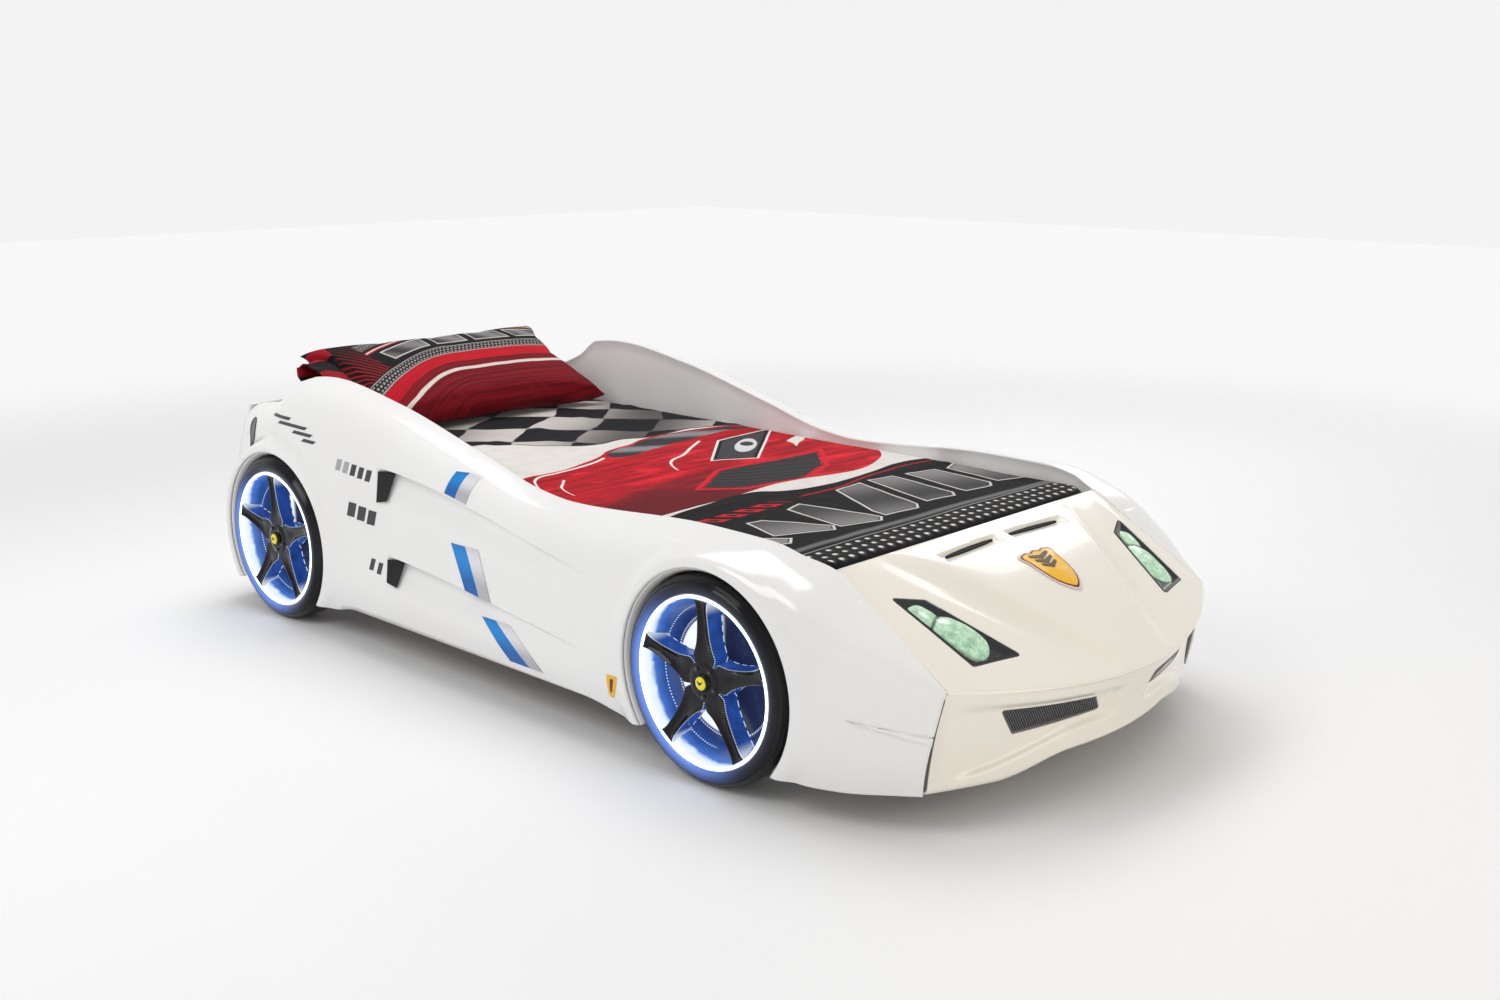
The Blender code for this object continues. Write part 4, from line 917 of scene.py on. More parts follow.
    # grey sheen above the studs, then the studded band
    sheen = abs(y + 0.652 + x * 0.02).over(0.014, 0.002)
    colour = finish.mix(sheen * 0.55, colour, (0.30, 0.30, 0.30))
    band = crisp(-0.672 - y)
    colour = finish.mix(band, colour, (0.010, 0.010, 0.012))
    pitch_x, pitch_y = 0.0285, 0.0275
    row = ((y + 0.6765) / -pitch_y).floor()
    cell_x = ((x / pitch_x + row * 0.5).fract() - 0.5) * pitch_x
    cell_y = (((y + 0.6765) / -pitch_y).fract() - 0.5) * pitch_y
    radius = (cell_x * cell_x + cell_y * cell_y) ** 0.5
    lit_x, lit_y = cell_x + 0.0016, cell_y + 0.0018
    lit = (lit_x * lit_x + lit_y * lit_y) ** 0.5
    stud = finish.mix(lit.soft(0.0082, 0.0012), (0.035, 0.033, 0.032), (0.88, 0.84, 0.78))
    colour = finish.layers(
        colour,
        (radius.over(0.0100, 0.0092) * band, (0.035, 0.034, 0.033)),
        (radius.over(0.0084, 0.0076) * band, stud))
    seam = abs(y + 0.672).over(0.0022, 0.0012)
    colour = finish.mix(seam, colour, (0.34, 0.33, 0.32))
    cloth_weave(finish, colour)
    return finish


def pillow_print():
    """Printed pillow case: red bands, a cream line, a studded grey band, outlined blocks on black."""
    finish = Finish("printed_pillow_case", Sheen_Weight=0.03, Sheen_Roughness=0.5, Specular_IOR_Level=0.12)
    flat = finish.layout()
    u, v = finish.parts(flat, 2)
    black, cream = (0.007, 0.006, 0.007), (0.66, 0.60, 0.54)
    wobble = finish.noise(flat, 6.0, 2.0)
    bend = (u * -1.0).soft(0.02, 0.40)
    level = v + bend * 0.150 * (v.over(0.20, -0.12) * 0.6 + 0.4) + (wobble - 0.5) * 0.012
    streaks = finish.noise(finish.vector(u * 1.5, level * 60.0, 1.0), 2.0, 3.0)
    red = finish.mix(streaks.over(0.40, 0.65), (0.23, 0.003, 0.010), (0.10, 0.002, 0.006))
    lines = (level * 640.0).sin().over(0.35, 0.75)
    red = finish.mix(lines * 0.30, red, (0.05, 0.001, 0.003))
    bright = finish.mix(streaks.over(0.45, 0.70), (0.50, 0.004, 0.016), (0.36, 0.003, 0.012))

    def band(low, high):
        return (level - low).over(0.0, 0.0016) * (high - level).over(0.0, 0.0016)

    colour = finish.mix(band(-0.048, 0.2), red, cream)
    colour = finish.mix(band(-0.036, 0.2), colour, red)
    colour = finish.mix(band(-0.010, 0.2), colour, bright)
    colour = finish.mix(band(0.030, 0.2), colour, (0.32, 0.30, 0.28))
    colour = finish.mix(band(0.034, 0.2), colour, black)
    cell_u = ((u / 0.0125 + ((level / 0.011).floor()) * 0.5).fract() - 0.5) * 0.0125
    cell_v = ((level / 0.011).fract() - 0.5) * 0.011
    dots = ((cell_u * cell_u + cell_v * cell_v) ** 0.5).over(0.0046, 0.0034)
    colour = finish.layers(
        colour,
        (dots * band(0.036, 0.062), (0.30, 0.28, 0.27)),
        (band(0.063, 0.067), (0.42, 0.40, 0.38)))
    plates = reduce(Wire.max, [finish.polygon(u, level, corners) for corners in (
        [(-0.190, 0.086), (-0.055, 0.081), (-0.065, 0.128), (-0.215, 0.130)],
        [(-0.030, 0.081), (0.070, 0.081), (0.060, 0.128), (-0.040, 0.128)],
        [(0.095, 0.081), (0.215, 0.082), (0.190, 0.128), (0.085, 0.128)],
        [(0.240, 0.083), (0.340, 0.086), (0.345, 0.128), (0.215, 0.128)])])
    metal = finish.mix((u * 50.0 + level * 60.0).sin().over(-1.0, 1.0), (0.04, 0.04, 0.042),
                       (0.22, 0.21, 0.21))
    colour = finish.layers(
        colour,
        (plates.over(-0.0008, 0.0008), (0.56, 0.53, 0.50)),
        (plates.over(0.0032, 0.0048), metal),
        (band(0.139, 0.152), (0.40, 0.006, 0.016)),
        (band(0.143, 0.149), cream),
        (band(0.158, 0.190), (0.09, 0.085, 0.085)),
        (dots * band(0.160, 0.190) * 0.6, (0.30, 0.28, 0.27)))

    # the darker left end, with short red rays
    left = (u + level * 0.35 + 0.205).over(0.004, 0.0)
    rays = ((u * 0.75 + v * 0.66) * 520.0).sin().over(0.25, 0.6) * (level + 0.03).over(0.0, 0.03)
    dark = finish.mix(rays * v.over(0.15, 0.02), black, (0.33, 0.006, 0.014))
    colour = finish.mix(left * (level - 0.068).over(0.0, 0.002), colour, dark)
    end = (u + 0.330).over(0.002, 0.0)
    colour = finish.mix(end, colour, finish.mix((v * 55.0).sin().over(0.2, 0.4), black, (0.30, 0.005, 0.014)))
    cloth_weave(finish, colour)
    return finish


def ticking():
    """Plain mattress ticking: fine ribs, slow blotches of a warmer, darker tone and a soft off-white."""
    finish = Finish("mattress_ticking", Sheen_Weight=0.1, Specular_IOR_Level=0.2)
    where = finish.place()
    x, y = finish.parts(where, 2)
    rib = ((x + y) * 1500.0).sin().over(-1.0, 1.0)
    blot = finish.noise(where, 9.0, 3.0)
    colour = finish.mix(rib * 0.5, (0.70, 0.69, 0.66), (0.58, 0.57, 0.55))
    finish.set("Base Color", finish.mix(blot.over(0.5, 0.8) * 0.3, colour, (0.62, 0.59, 0.54)))
    finish.set("Roughness", blot * 0.1 + 0.8)
    finish.bump(rib, 0.0005, 0.5)
    return finish


SIDE_WHITE = white_plastic("side_white_plastic", 0.0)
NOSE_WHITE = white_plastic("nose_white_plastic", 1.0)
GLOSS_BLACK = black_plastic("black_gloss_moulding")
TRIM_BLACK = black_plastic("trim_black", (0.006, 0.006, 0.007), 0.28)
# painted shadow: near-black film for the bonnet slots, standing in for the shade in their openings
SLOT_SHADE = plain_print("slot_shadow", (0.004, 0.004, 0.004), 0.75)
MESH_BLACK = diamond_mesh("pressed_dark_mesh")
TYRE_BLACK = tyre_rubber()
BARREL_BLUE = lit_barrel()
SPOKE_BLACK = spoke_black()
LAMP_RING = light_strip()
LENS_GREEN = headlight_glass()
FOIL_BLUE = stripe_finish("blue_foil", (0.003, 0.12, 0.42), (0.008, 0.24, 0.66), 0.3, 0.22)
FOIL_SILVER = stripe_finish("silver_foil", (0.46, 0.46, 0.49), (0.74, 0.74, 0.77), 0.35, 0.24)
MARK_BLACK = plain_print("black_side_marks", (0.02, 0.02, 0.022))
MARK_GREY = plain_print("grey_side_marks", (0.30, 0.31, 0.33))
BADGE_EDGE = plain_print("badge_border", (0.62, 0.50, 0.50), 0.25)
BADGE_RED = plain_print("badge_outline", (0.12, 0.012, 0.016), 0.25)
BADGE_GOLD = plain_print("badge_field", (0.72, 0.40, 0.015), 0.25)
CAP_YELLOW = plain_print("cap_yellow", (0.78, 0.62, 0.02), 0.2)
BADGE_MARK = plain_print("badge_marks", (0.03, 0.02, 0.012), 0.3)
PINE = wood("planed_pine", (0.62, 0.44, 0.25), (0.42, 0.26, 0.12), 1)
PINE_CROSS = wood("planed_pine_cross", (0.64, 0.46, 0.27), (0.44, 0.28, 0.13), 0)
# painted shade: the foot and head boards sit in the dark inside of the body, so they get a near-black copy of
# the wood
SHADED_END_BOARD = wood("end_board_painted_shade", (0.055, 0.052, 0.050), (0.025, 0.023, 0.022), 0)
TICKING = ticking()
SPREAD_PRINT = bedspread_print()
PILLOW_PRINT = pillow_print()


# ---------------------------------------------------------------- body panels
def row_heights(y):
    """Heights of the mesh rows at y: even steps between the sill and the creases, then round the shoulder.

    Over the shoulder the heights follow cos(angle)^(2/2.3), so the steps along its curve stay even.
    """
    top = rail_height(y)
    upper, lower = crease_heights(y)
    roll = np.maximum(top - shoulder_drop(y), upper + 0.4 * (top - upper))
    sill = np.maximum(np.minimum(lower - 0.085, SILL_HEIGHT), body_bottom(y) + 0.012)
    marks = [body_bottom(y), sill, lower - 0.045, lower - 0.008, lower, (upper + lower) / 2,
             upper - 0.040, upper - 0.008, upper, roll]
    counts = [6, 5, 5, 4, 8, 5, 5, 4, 5]
    parts = []
    for low, high, count in zip(marks, marks[1:], counts):
        shares = np.arange(count) / count
        parts.append(low + (high - low) * shares.reshape(-1, *([1] * np.ndim(y))))
    angle = (1 - np.linspace(0, 1, 17)**1.25) * math.pi / 2
    curve = np.cos(angle)**(2 / 2.3)
    curve[0], curve[-1] = 0.0, 1.0
    parts.append(roll + (top - roll) * curve.reshape(-1, *([1] * np.ndim(y))))
    return np.concatenate(parts)


def side_fields():
    """The outer side as grids in (y, z): plain stretches and two stars of rays round the wheels."""
    def plain(at):
        y = np.asarray(at, float)
        z = row_heights(y)
        lean = 0.034 * np.clip((OPEN_Y - 0.09 - y) / 0.18, 0, 1)
        return y + lean * (1 - (z - z[0]) / (z[-1] - z[0])), z

    def star(hub, low, high, tops):
        foot = math.sqrt(ARCH_RADIUS**2 - (HUB_Z - SKIRT_BOTTOM)**2) + 0.005
        before = np.linspace(hub - foot, low, 9)[:-1]
        after = np.linspace(high, hub + foot, 9)[1:]
        left, right = row_heights(np.array([low]))[:, 0], row_heights(np.array([high]))[:, 0]
        border = np.concatenate([
            np.stack([before, body_bottom(before)], 1),
            np.stack([np.full_like(left, low), left], 1),
            np.stack([tops, rail_height(tops)], 1)[1:-1],
            np.stack([np.full_like(right, high), right], 1)[::-1],
            np.stack([after, body_bottom(after)], 1)])
        away = border - (hub, HUB_Z)
        inner = (hub, HUB_Z) + away / np.linalg.norm(away, axis=1)[:, None] * ARCH_RADIUS
        reach = np.linalg.norm(border - inner, axis=1)[:, None]
        even = np.linspace(0, 1, 31)[:, None]
        lip = np.minimum(0.008 / reach, 0.3)[None, :, 0]
        near = lip * np.linspace(0, 1, 9)[:, None]
        rest = lip + (1 - lip) * even[1:]**1.2
        shares = np.concatenate([near, rest])[:, :, None]
        points = inner + (border - inner) * shares
        return points[..., 0], points[..., 1]

    front_low, front_high = FRONT_HUB_Y - STAR, FRONT_HUB_Y + STAR
    rear_low, rear_high = REAR_HUB_Y - STAR, SIDE_END_Y
    nose = np.linspace(CORNER_Y, front_low, 30)
    front_tops = np.linspace(front_low, front_high, 80)
    middle = np.concatenate([
        np.linspace(front_high, SCOOP_FRONT_Y, 6, endpoint=False),
        np.linspace(SCOOP_FRONT_Y, LOWER_SCOOP_Y - SCOOP_WALL, 80, endpoint=False),
        np.linspace(LOWER_SCOOP_Y - SCOOP_WALL, SCOOP_Y, 40, endpoint=False),
        np.linspace(SCOOP_Y, rear_low, 24)])
    rear_tops = np.linspace(rear_low, rear_high, 80)
    fields = [plain(nose), star(FRONT_HUB_Y, front_low, front_high, front_tops), plain(middle),
              star(REAR_HUB_Y, rear_low, rear_high, rear_tops)]
    tops = np.unique(np.concatenate([nose, front_tops, middle, rear_tops]).round(9))
    return fields, tops


def arch_flange(hub):
    """The edge of a wheel arch turned inwards: an arc of the arch's radius, run in along X."""
    foot = math.asin((HUB_Z - SKIRT_BOTTOM) / ARCH_RADIUS)
    angle = np.linspace(-foot + 0.02, math.pi + foot - 0.02, 160)
    angle = angle[hub + ARCH_RADIUS * np.cos(angle) < SIDE_END_Y - 0.002]
    start = side_half(hub + ARCH_RADIUS * np.cos(angle), HUB_Z + ARCH_RADIUS * np.sin(angle))
    rows = []
    for depth, radius in ((0.0, ARCH_RADIUS), (0.004, ARCH_RADIUS - 0.0025), (0.009, ARCH_RADIUS - 0.0060),
                          (0.016, ARCH_RADIUS - 0.0078), (0.040, ARCH_RADIUS - 0.0080),
                          (0.078, ARCH_RADIUS - 0.0080)):
        rows.append(np.stack([start - depth, hub + radius * np.cos(angle), HUB_Z + radius * np.sin(angle)],
                             1))
    return np.stack(rows)


def make_side(side, sign):
    """One moulded side: outer face with arches and scoops, rolled rail, and the wall of the well.

    A bead 14 mm wide and 1.6 mm high runs along the rail's inner edge.
    """
    fields, tops = side_fields()
    patches = []
    for y, z in fields:
        half = side_half(y, z)
        inner = rail_inner(y)
        bead = np.clip((half - inner) / 0.014, 0, 1)
        near = np.clip((z - rail_height(y) + 0.02) / 0.01, 0, 1) * ease((y - OPEN_Y + 0.03) / 0.03)
        lift = 0.0016 * near * (1 - bead**4) * np.sqrt(np.clip(bead * 6, 0, 1))
        patches.append(np.stack([half, y, z + lift], -1))
    top = rail_height(tops)
    start = side_half(tops, top)
    in_well = ease((tops - OPEN_Y + 0.0005) / 0.001)
    foot = (top - 0.016) + (SKIRT_Z - top + 0.016) * in_well
    wall = np.where(in_well > 0.5, rail_inner(tops), start - 0.001)
    rows = [np.stack([start, tops, top], 1)]
    for turn in (0.25, 0.5, 0.75, 1.0):
        rows.append(np.stack([start + (wall - start) * turn - 0.0012 * math.sin(turn * math.pi), tops,
                              top - 0.006 * turn], 1))
    for share in np.linspace(0.08, 1, 12):
        rows.append(np.stack([wall, tops, top - 0.006 + (foot - top + 0.006) * share], 1))
    patches.append(np.stack(rows))
    for patch in patches:
        patch[..., 1] -= tail_lean(patch[..., 1], patch[..., 2])
        patch[..., 0] *= sign

    def outward(centre, normal):
        return normal.x * sign if abs(centre.x) > BODY_HALF - 0.06 else 0.0

    mesh = patchwork("side_skin_" + side, patches, outward)
    skin = place_piece("side_skin_" + side, mesh, SIDE_WHITE, "bed", ["side_panel_" + side],
                       40)
    solidify(skin, PANEL_SKIN)
    for end, hub in (("front", FRONT_HUB_Y), ("rear", REAR_HUB_Y)):
        flange = arch_flange(hub)
        flange[..., 0] *= sign
        mesh = patchwork("arch_edge", [flange], lambda c, n: -(n.y * (c.y - hub) + n.z * (c.z - HUB_Z)))
        edge = place_piece("arch_edge_" + end + "_" + side, mesh, SIDE_WHITE, "bed", ())
        solidify(edge, 0.002)


HEADLIGHT = ((0.390, -0.091), (0.325, -0.120), (0.256, -0.281), (0.366, -0.256))
FRONT_GRILLE = ((0.334, 0.213), (0.298, 0.160), (0.090, 0.163), (0.113, 0.193))


def rounded_outline(corners, radius, steps=6, per_side=6):
    """A closed outline through straight sides and rounded corners, evenly stepped."""
    corners = np.asarray(corners, float)
    points = []
    count = len(corners)
    for i in range(count):
        before, here, after = corners[i - 1], corners[i], corners[(i + 1) % count]
        to_before = (before - here) / np.linalg.norm(before - here)
        to_after = (after - here) / np.linalg.norm(after - here)
        half = math.acos(np.clip(to_before @ to_after, -1, 1)) / 2
        cut = radius / math.tan(half)
        start, end = here + to_before * cut, here + to_after * cut
        for share in np.linspace(0, 1, steps):
            points.append((1 - share)**2 * start + 2 * share * (1 - share) * here + share**2 * end)
        following = corners[(i + 2) % count]
        onward = (following - after) / np.linalg.norm(following - after)
        next_half = math.acos(np.clip(-to_after @ onward, -1, 1)) / 2
        stop = after - to_after * (radius / math.tan(next_half))
        for share in np.linspace(0, 1, per_side + 2)[1:-1]:
            points.append(end + (stop - end) * share)
    return np.array(points)


def grown(outline, distance):
    """An outline moved outwards by a distance along its own normals."""
    ahead, behind = np.roll(outline, -1, axis=0), np.roll(outline, 1, axis=0)
    along = ahead - behind
    along /= np.linalg.norm(along, axis=1)[:, None]
    normal = np.stack([along[:, 1], -along[:, 0]], 1)
    area = np.sum(outline[:, 0] * ahead[:, 1] - ahead[:, 0] * outline[:, 1])
    return outline + normal * distance * (1 if area > 0 else -1)


def cutter_between(low, high):
    """A hidden solid between two outlines of equal count, for cutting an opening."""
    first = np.arange(len(low))
    second = first + len(low)
    walls = np.stack([first, np.roll(first, -1), np.roll(second, -1), second], 1)
    mesh = bpy.data.meshes.new("opening_cut")
    mesh.from_pydata(np.concatenate([low, high]), [], [first.tolist(), second.tolist()] + walls.tolist())
    bm = bmesh.new()
    bm.from_mesh(mesh)
    bmesh.ops.recalc_face_normals(bm, faces=bm.faces)
    bm.to_mesh(mesh)
    bm.free()
    return bpy.data.objects.new("opening_cut", mesh)


def applied(piece, cutters=()):
    """Bakes a piece's modifiers, and cuts, into its mesh, then marks its sharp edges again."""
    for cutter in cutters:
        bpy.context.collection.objects.link(cutter)
        mod = piece.modifiers.new("cut", "BOOLEAN")
        mod.operation = "DIFFERENCE"
        mod.solver = "EXACT"
        mod.object = cutter
    graph = bpy.context.evaluated_depsgraph_get()
    mesh = bpy.data.meshes.new_from_object(piece.evaluated_get(graph))
    piece.modifiers.clear()
    piece.data = mesh
    for cutter in cutters:
        bpy.data.objects.remove(cutter, do_unlink=True)
    mesh.shade_smooth()
    mesh.set_sharp_from_angle(angle=math.radians(38))
    return piece


def headlight_outline():
    return np.array(HEADLIGHT) + (0, OPEN_Y)


def on_bonnet(points, sign, rise):
    return np.stack([points[:, 0] * sign, points[:, 1],
                     bonnet_height(points[:, 0], points[:, 1]) + rise], 1)


def on_bumper(points, sign, back):
    return np.stack([points[:, 0] * sign, bumper_y(points[:, 0], points[:, 1]) + back, points[:, 1]], 1)


def make_nose():
    """Bonnet, bumper with its rolled lip, and the front wall of the well, cut for lamps and grilles."""
    share = np.linspace(-1, 1, 241)
    rows = []
    for z in np.linspace(SKIRT_Z, RAIL_SEAM - 0.007, 12):
        x = share * (WELL_HALF - FRONT_NARROWING - PANEL_GAP)
        rows.append(np.stack([x, np.full_like(x, OPEN_Y), np.full_like(x, z)], 1))
    for turn in np.linspace(0.15, 0.9, 5):
        x = share * (WELL_HALF - FRONT_NARROWING - PANEL_GAP)
        y = OPEN_Y - 0.004 * (1 - math.cos(turn * math.pi / 2))
        z = RAIL_SEAM - 0.007 + 0.007 * math.sin(turn * math.pi / 2)
        rows.append(np.stack([x, np.full_like(x, y), np.full_like(x, z)], 1))
    for run in stations([0.0, 0.12, 0.24, 1.0], [12, 24, 64])[:-1]:
        half = rail_inner(OPEN_Y + (CORNER_Y - OPEN_Y) * run)
        x = share * (half - PANEL_GAP)
        y = OPEN_Y - 0.004 + (bonnet_front(x * SEAM_WIDTH / half) - OPEN_Y + 0.004) * run
        rows.append(np.stack([x, y, bonnet_height(x, y) - slot_recess(x, y)], 1))
    x = share * (SEAM_WIDTH - PANEL_GAP)
    front = bonnet_front(x)
    crease = bonnet_height(x, front)
    behind = rows[-1]
    for turn in (0.0, 0.35, 0.7, 1.0):
        y = front + 0.0022 * (1 - math.sin(turn * math.pi / 2)) - 0.0004
        z = crease - 0.0035 * turn + (behind[:, 2] - crease) * 0.18 * (1 - turn)
        rows.append(np.stack([x, y, z], 1))
    for down in np.linspace(0.03, 1.0, 60):
        x = share * (SEAM_WIDTH - PANEL_GAP + 0.006 * down)
        lip_z = bumper_lip(x)[1]
        z = crease - 0.0035 + (lip_z - crease + 0.0035) * down
        round_off = 0.006 * np.clip((down - 0.94) / 0.06, 0, 1)**2
        rows.append(np.stack([x, bumper_y(x, z) + round_off, z], 1))
    last = rows[-1]
    for inward in (0.006, 0.011, 0.016):
        rows.append(last + (0.0, inward, 0.003 * inward / 0.016))
    mesh = patchwork("nose_skin", [np.stack(rows)], lambda c, n: n.z if c.z > NOSE_SEAM_HEIGHT else 0.0)
    skin = place_piece("nose_skin", mesh, NOSE_WHITE, "bed", ["nose_panel"], 40)
    solidify(skin, PANEL_SKIN)
    cutters = []
    for _, sign in SIDES:
        hole = grown(rounded_outline(headlight_outline(), 0.006), 0.0016)
        cutters.append(cutter_between(on_bonnet(hole, sign, -0.05), on_bonnet(hole, sign, 0.05)))
        hole = grown(rounded_outline(FRONT_GRILLE, 0.004), 0.0010)
        cutters.append(cutter_between(on_bumper(hole, sign, -0.03), on_bumper(hole, sign, 0.03)))
    applied(skin, cutters)


def make_tail():
    """The back of the body: well wall, rolled top edge and a face that wraps the side panels' ends."""
    share = np.linspace(-1, 1, 161)
    wall_half = WELL_HALF - PANEL_GAP
    top = float(rail_height(HEAD_Y))
    rows = []
    for z in np.linspace(SKIRT_Z, top - 0.008, 14):
        x = share * wall_half
        rows.append(np.stack([x, np.full_like(x, HEAD_Y), np.full_like(x, z)], 1))
    for turn in (0.3, 0.6, 0.85):
        x = share * wall_half
        rows.append(np.stack([x, np.full_like(x, HEAD_Y + 0.005 * turn),
                              np.full_like(x, top - 0.008 + 0.008 * turn**0.6)], 1))
    heights = np.concatenate([np.linspace(top - 0.003, top - 0.08, 16),
                              np.linspace(top - 0.09, SKIRT_BOTTOM + 0.008, 40)])
    for z in heights:
        half = float(side_half(np.array(SIDE_END_Y), np.array(min(z, top - 0.02))))
        x = share * (half - PANEL_GAP)
        depth = TAIL_Y - SIDE_END_Y - PANEL_GAP - SHEET
        y = TAIL_Y - depth * np.abs(share)**14 - tail_lean(TAIL_Y, z)
        pocket = 0.006 * ease((0.30 - np.abs(x)) / 0.02)
        pocket = pocket * ease((z - 0.20) / 0.02) * (1 - ease((z - 0.34) / 0.02))
        rows.append(np.stack([x, y - pocket, np.full_like(x, z)], 1))
    mesh = patchwork("tail_skin", [np.stack(rows)], lambda c, n: n.y if c.y > SIDE_END_Y + 0.004 else 0.0)
    skin = place_piece("tail_skin", mesh, SIDE_WHITE, "bed", ["tail_panel"], 40)
    solidify(skin, PANEL_SKIN)


# ---------------------------------------------------------------- lamps, grilles, marks
def ring_stack(name, rings, finish, body, nodes=(), sharp=38):
    """A closed body through outlines of equal count, one after another, its two ends closed."""
    rings = [np.asarray(r, float) for r in rings]
    count = len(rings[0])
    rings.insert(0, np.tile(rings[0].mean(axis=0), (count, 1)))
    rings.append(np.tile(rings[-1].mean(axis=0), (count, 1)))
    points = np.concatenate(rings)
    v = np.repeat(np.linspace(0, 1, len(rings)), count)
    u = np.tile(np.linspace(0, 1, count), len(rings))
    mesh = raw_mesh(name, points, grid_faces(len(rings), count, around=True), np.stack([u, v], 1))
    weld(mesh, recalc=True)
    return place_piece(name, mesh, finish, body, nodes, sharp)


def make_headlight(side, sign):
    """A black bezel with a rounded edge, sunk in the bonnet, and a lens of two lobes that swells through it.

    The lens is a grid: u runs from the rear lobe to the front one, v across. Its half width at u is
    w(u), pinched between the lobes, and its height is a dome, rise * sqrt(1 - s^2) across.
    """
    outline = rounded_outline(headlight_outline(), 0.005)
    rings = [on_bonnet(grown(outline, distance), sign, rise) for distance, rise in (
        (0.0, -0.022), (0.0005, -0.003), (-0.001, 0.0008), (-0.004, 0.0012), (-0.009, -0.003),
        (-0.013, -0.0065))]
    ring_stack("lamp_bezel_" + side, rings, GLOSS_BLACK, "bed", ["headlight_bezel_" + side])
    corners = headlight_outline()
    rear = (corners[0] * 0.62 + corners[1] * 0.38)
    front = (corners[3] * 0.40 + corners[2] * 0.60)
    axis = front - rear
    length = np.linalg.norm(axis)
    axis /= length
    across = np.array([-axis[1], axis[0]])
    u = np.linspace(0, 1, 90)[:, None]
    s = np.linspace(-1, 1, 41)[None, :]
    width = line([(0.0, 0.0), (0.03, 0.012), (0.12, 0.0205), (0.24, 0.0215), (0.33, 0.0190), (0.38, 0.0255),
                  (0.52, 0.0345), (0.72, 0.0385), (0.86, 0.0350), (0.95, 0.023), (1.0, 0.0)], u)
    shift = line([(0.0, 0.006), (0.3, 0.004), (0.6, 0.0), (1.0, 0.003)], u)
    reach = 0.045 + 0.83 * u
    centre = rear[None, :] + (axis * length) * reach
    flat = centre[:, None, :] + across[None, None, :] * (width * s + shift)[..., None]
    crown = line([(0.0, 0.0), (0.1, 0.006), (0.24, 0.0065), (0.34, 0.0045), (0.45, 0.009), (0.7, 0.011),
                  (0.9, 0.0075), (1.0, 0.0)], u) * np.sqrt(1 - s**2)
    height = bonnet_height(flat[..., 0], flat[..., 1]) - 0.0072 + crown
    top = np.stack([flat[..., 0] * sign, flat[..., 1], height], -1)
    floor = top.copy()
    floor[..., 2] -= crown + 0.004
    uv = np.stack(np.broadcast_arrays(u, (s + 1) / 2), -1).reshape(-1, 2)
    mesh = slab_mesh("lamp_lens", top, floor, uv, uv)
    place_piece("lamp_lens_" + side, mesh, LENS_GREEN, "bed", ["headlight_lens_" + side],
                60)


def height_plate(name, corners, size, relief, thickness, finish, node):
    """A plate over four corners whose face carries a relief; v holds the relief's share, 0 to 1.

    corners run round the plate as (near low u, near high u, far high u, far low u); size is the grid.
    """
    rows, cols = size
    a, b, c, d = (np.asarray(p, float) for p in corners)
    s, t = np.meshgrid(np.linspace(0, 1, rows), np.linspace(0, 1, cols), indexing="ij")
    s, t = s[..., None], t[..., None]
    base = a * (1 - s) * (1 - t) + b * s * (1 - t) + c * s * t + d * (1 - s) * t
    normal = np.cross(b - a, d - a)
    normal /= np.linalg.norm(normal)
    wide, high = np.linalg.norm(b - a), np.linalg.norm(d - a)
    share, rise = relief(s[..., 0] * wide, t[..., 0] * high, wide, high)
    uv = np.stack([s[..., 0].ravel(), share.ravel()], 1)
    mesh = slab_mesh(name, base + normal * rise[..., None], base - normal * thickness, uv, uv * (1, 0))
    return place_piece(name, mesh, finish, "bed", [node], 80)


def framed_relief(ridges, depth, frame_width, blend):
    """A relief sunk by depth between ridges(across, up), with a flat frame round it; lengths in metres."""
    def relief(across, up, wide, high):
        rim = np.minimum(np.minimum(across, wide - across), np.minimum(up, high - up))
        share = np.maximum(ridges(across, up), 1 - ease((rim - frame_width) / blend))
        return share, -depth * (1 - share)
    return relief


def diamond_ridges(across, up):
    """Crossed ridges 4.2 mm apart: the larger of two slanting families."""
    pitch = 0.0042
    first = np.abs(((across / pitch + up / (pitch * 1.5)) % 1.0) - 0.5) * 2
    second = np.abs(((across / pitch - up / (pitch * 1.5)) % 1.0) - 0.5) * 2
    return ease((np.maximum(first, second) - 0.55) / 0.25)


def rib_ridges(across, up):
    """Fine upright ribs 5.2 mm apart."""
    return ease((np.abs(((across / 0.0052) % 1.0) - 0.5) * 2 - 0.35) / 0.4)


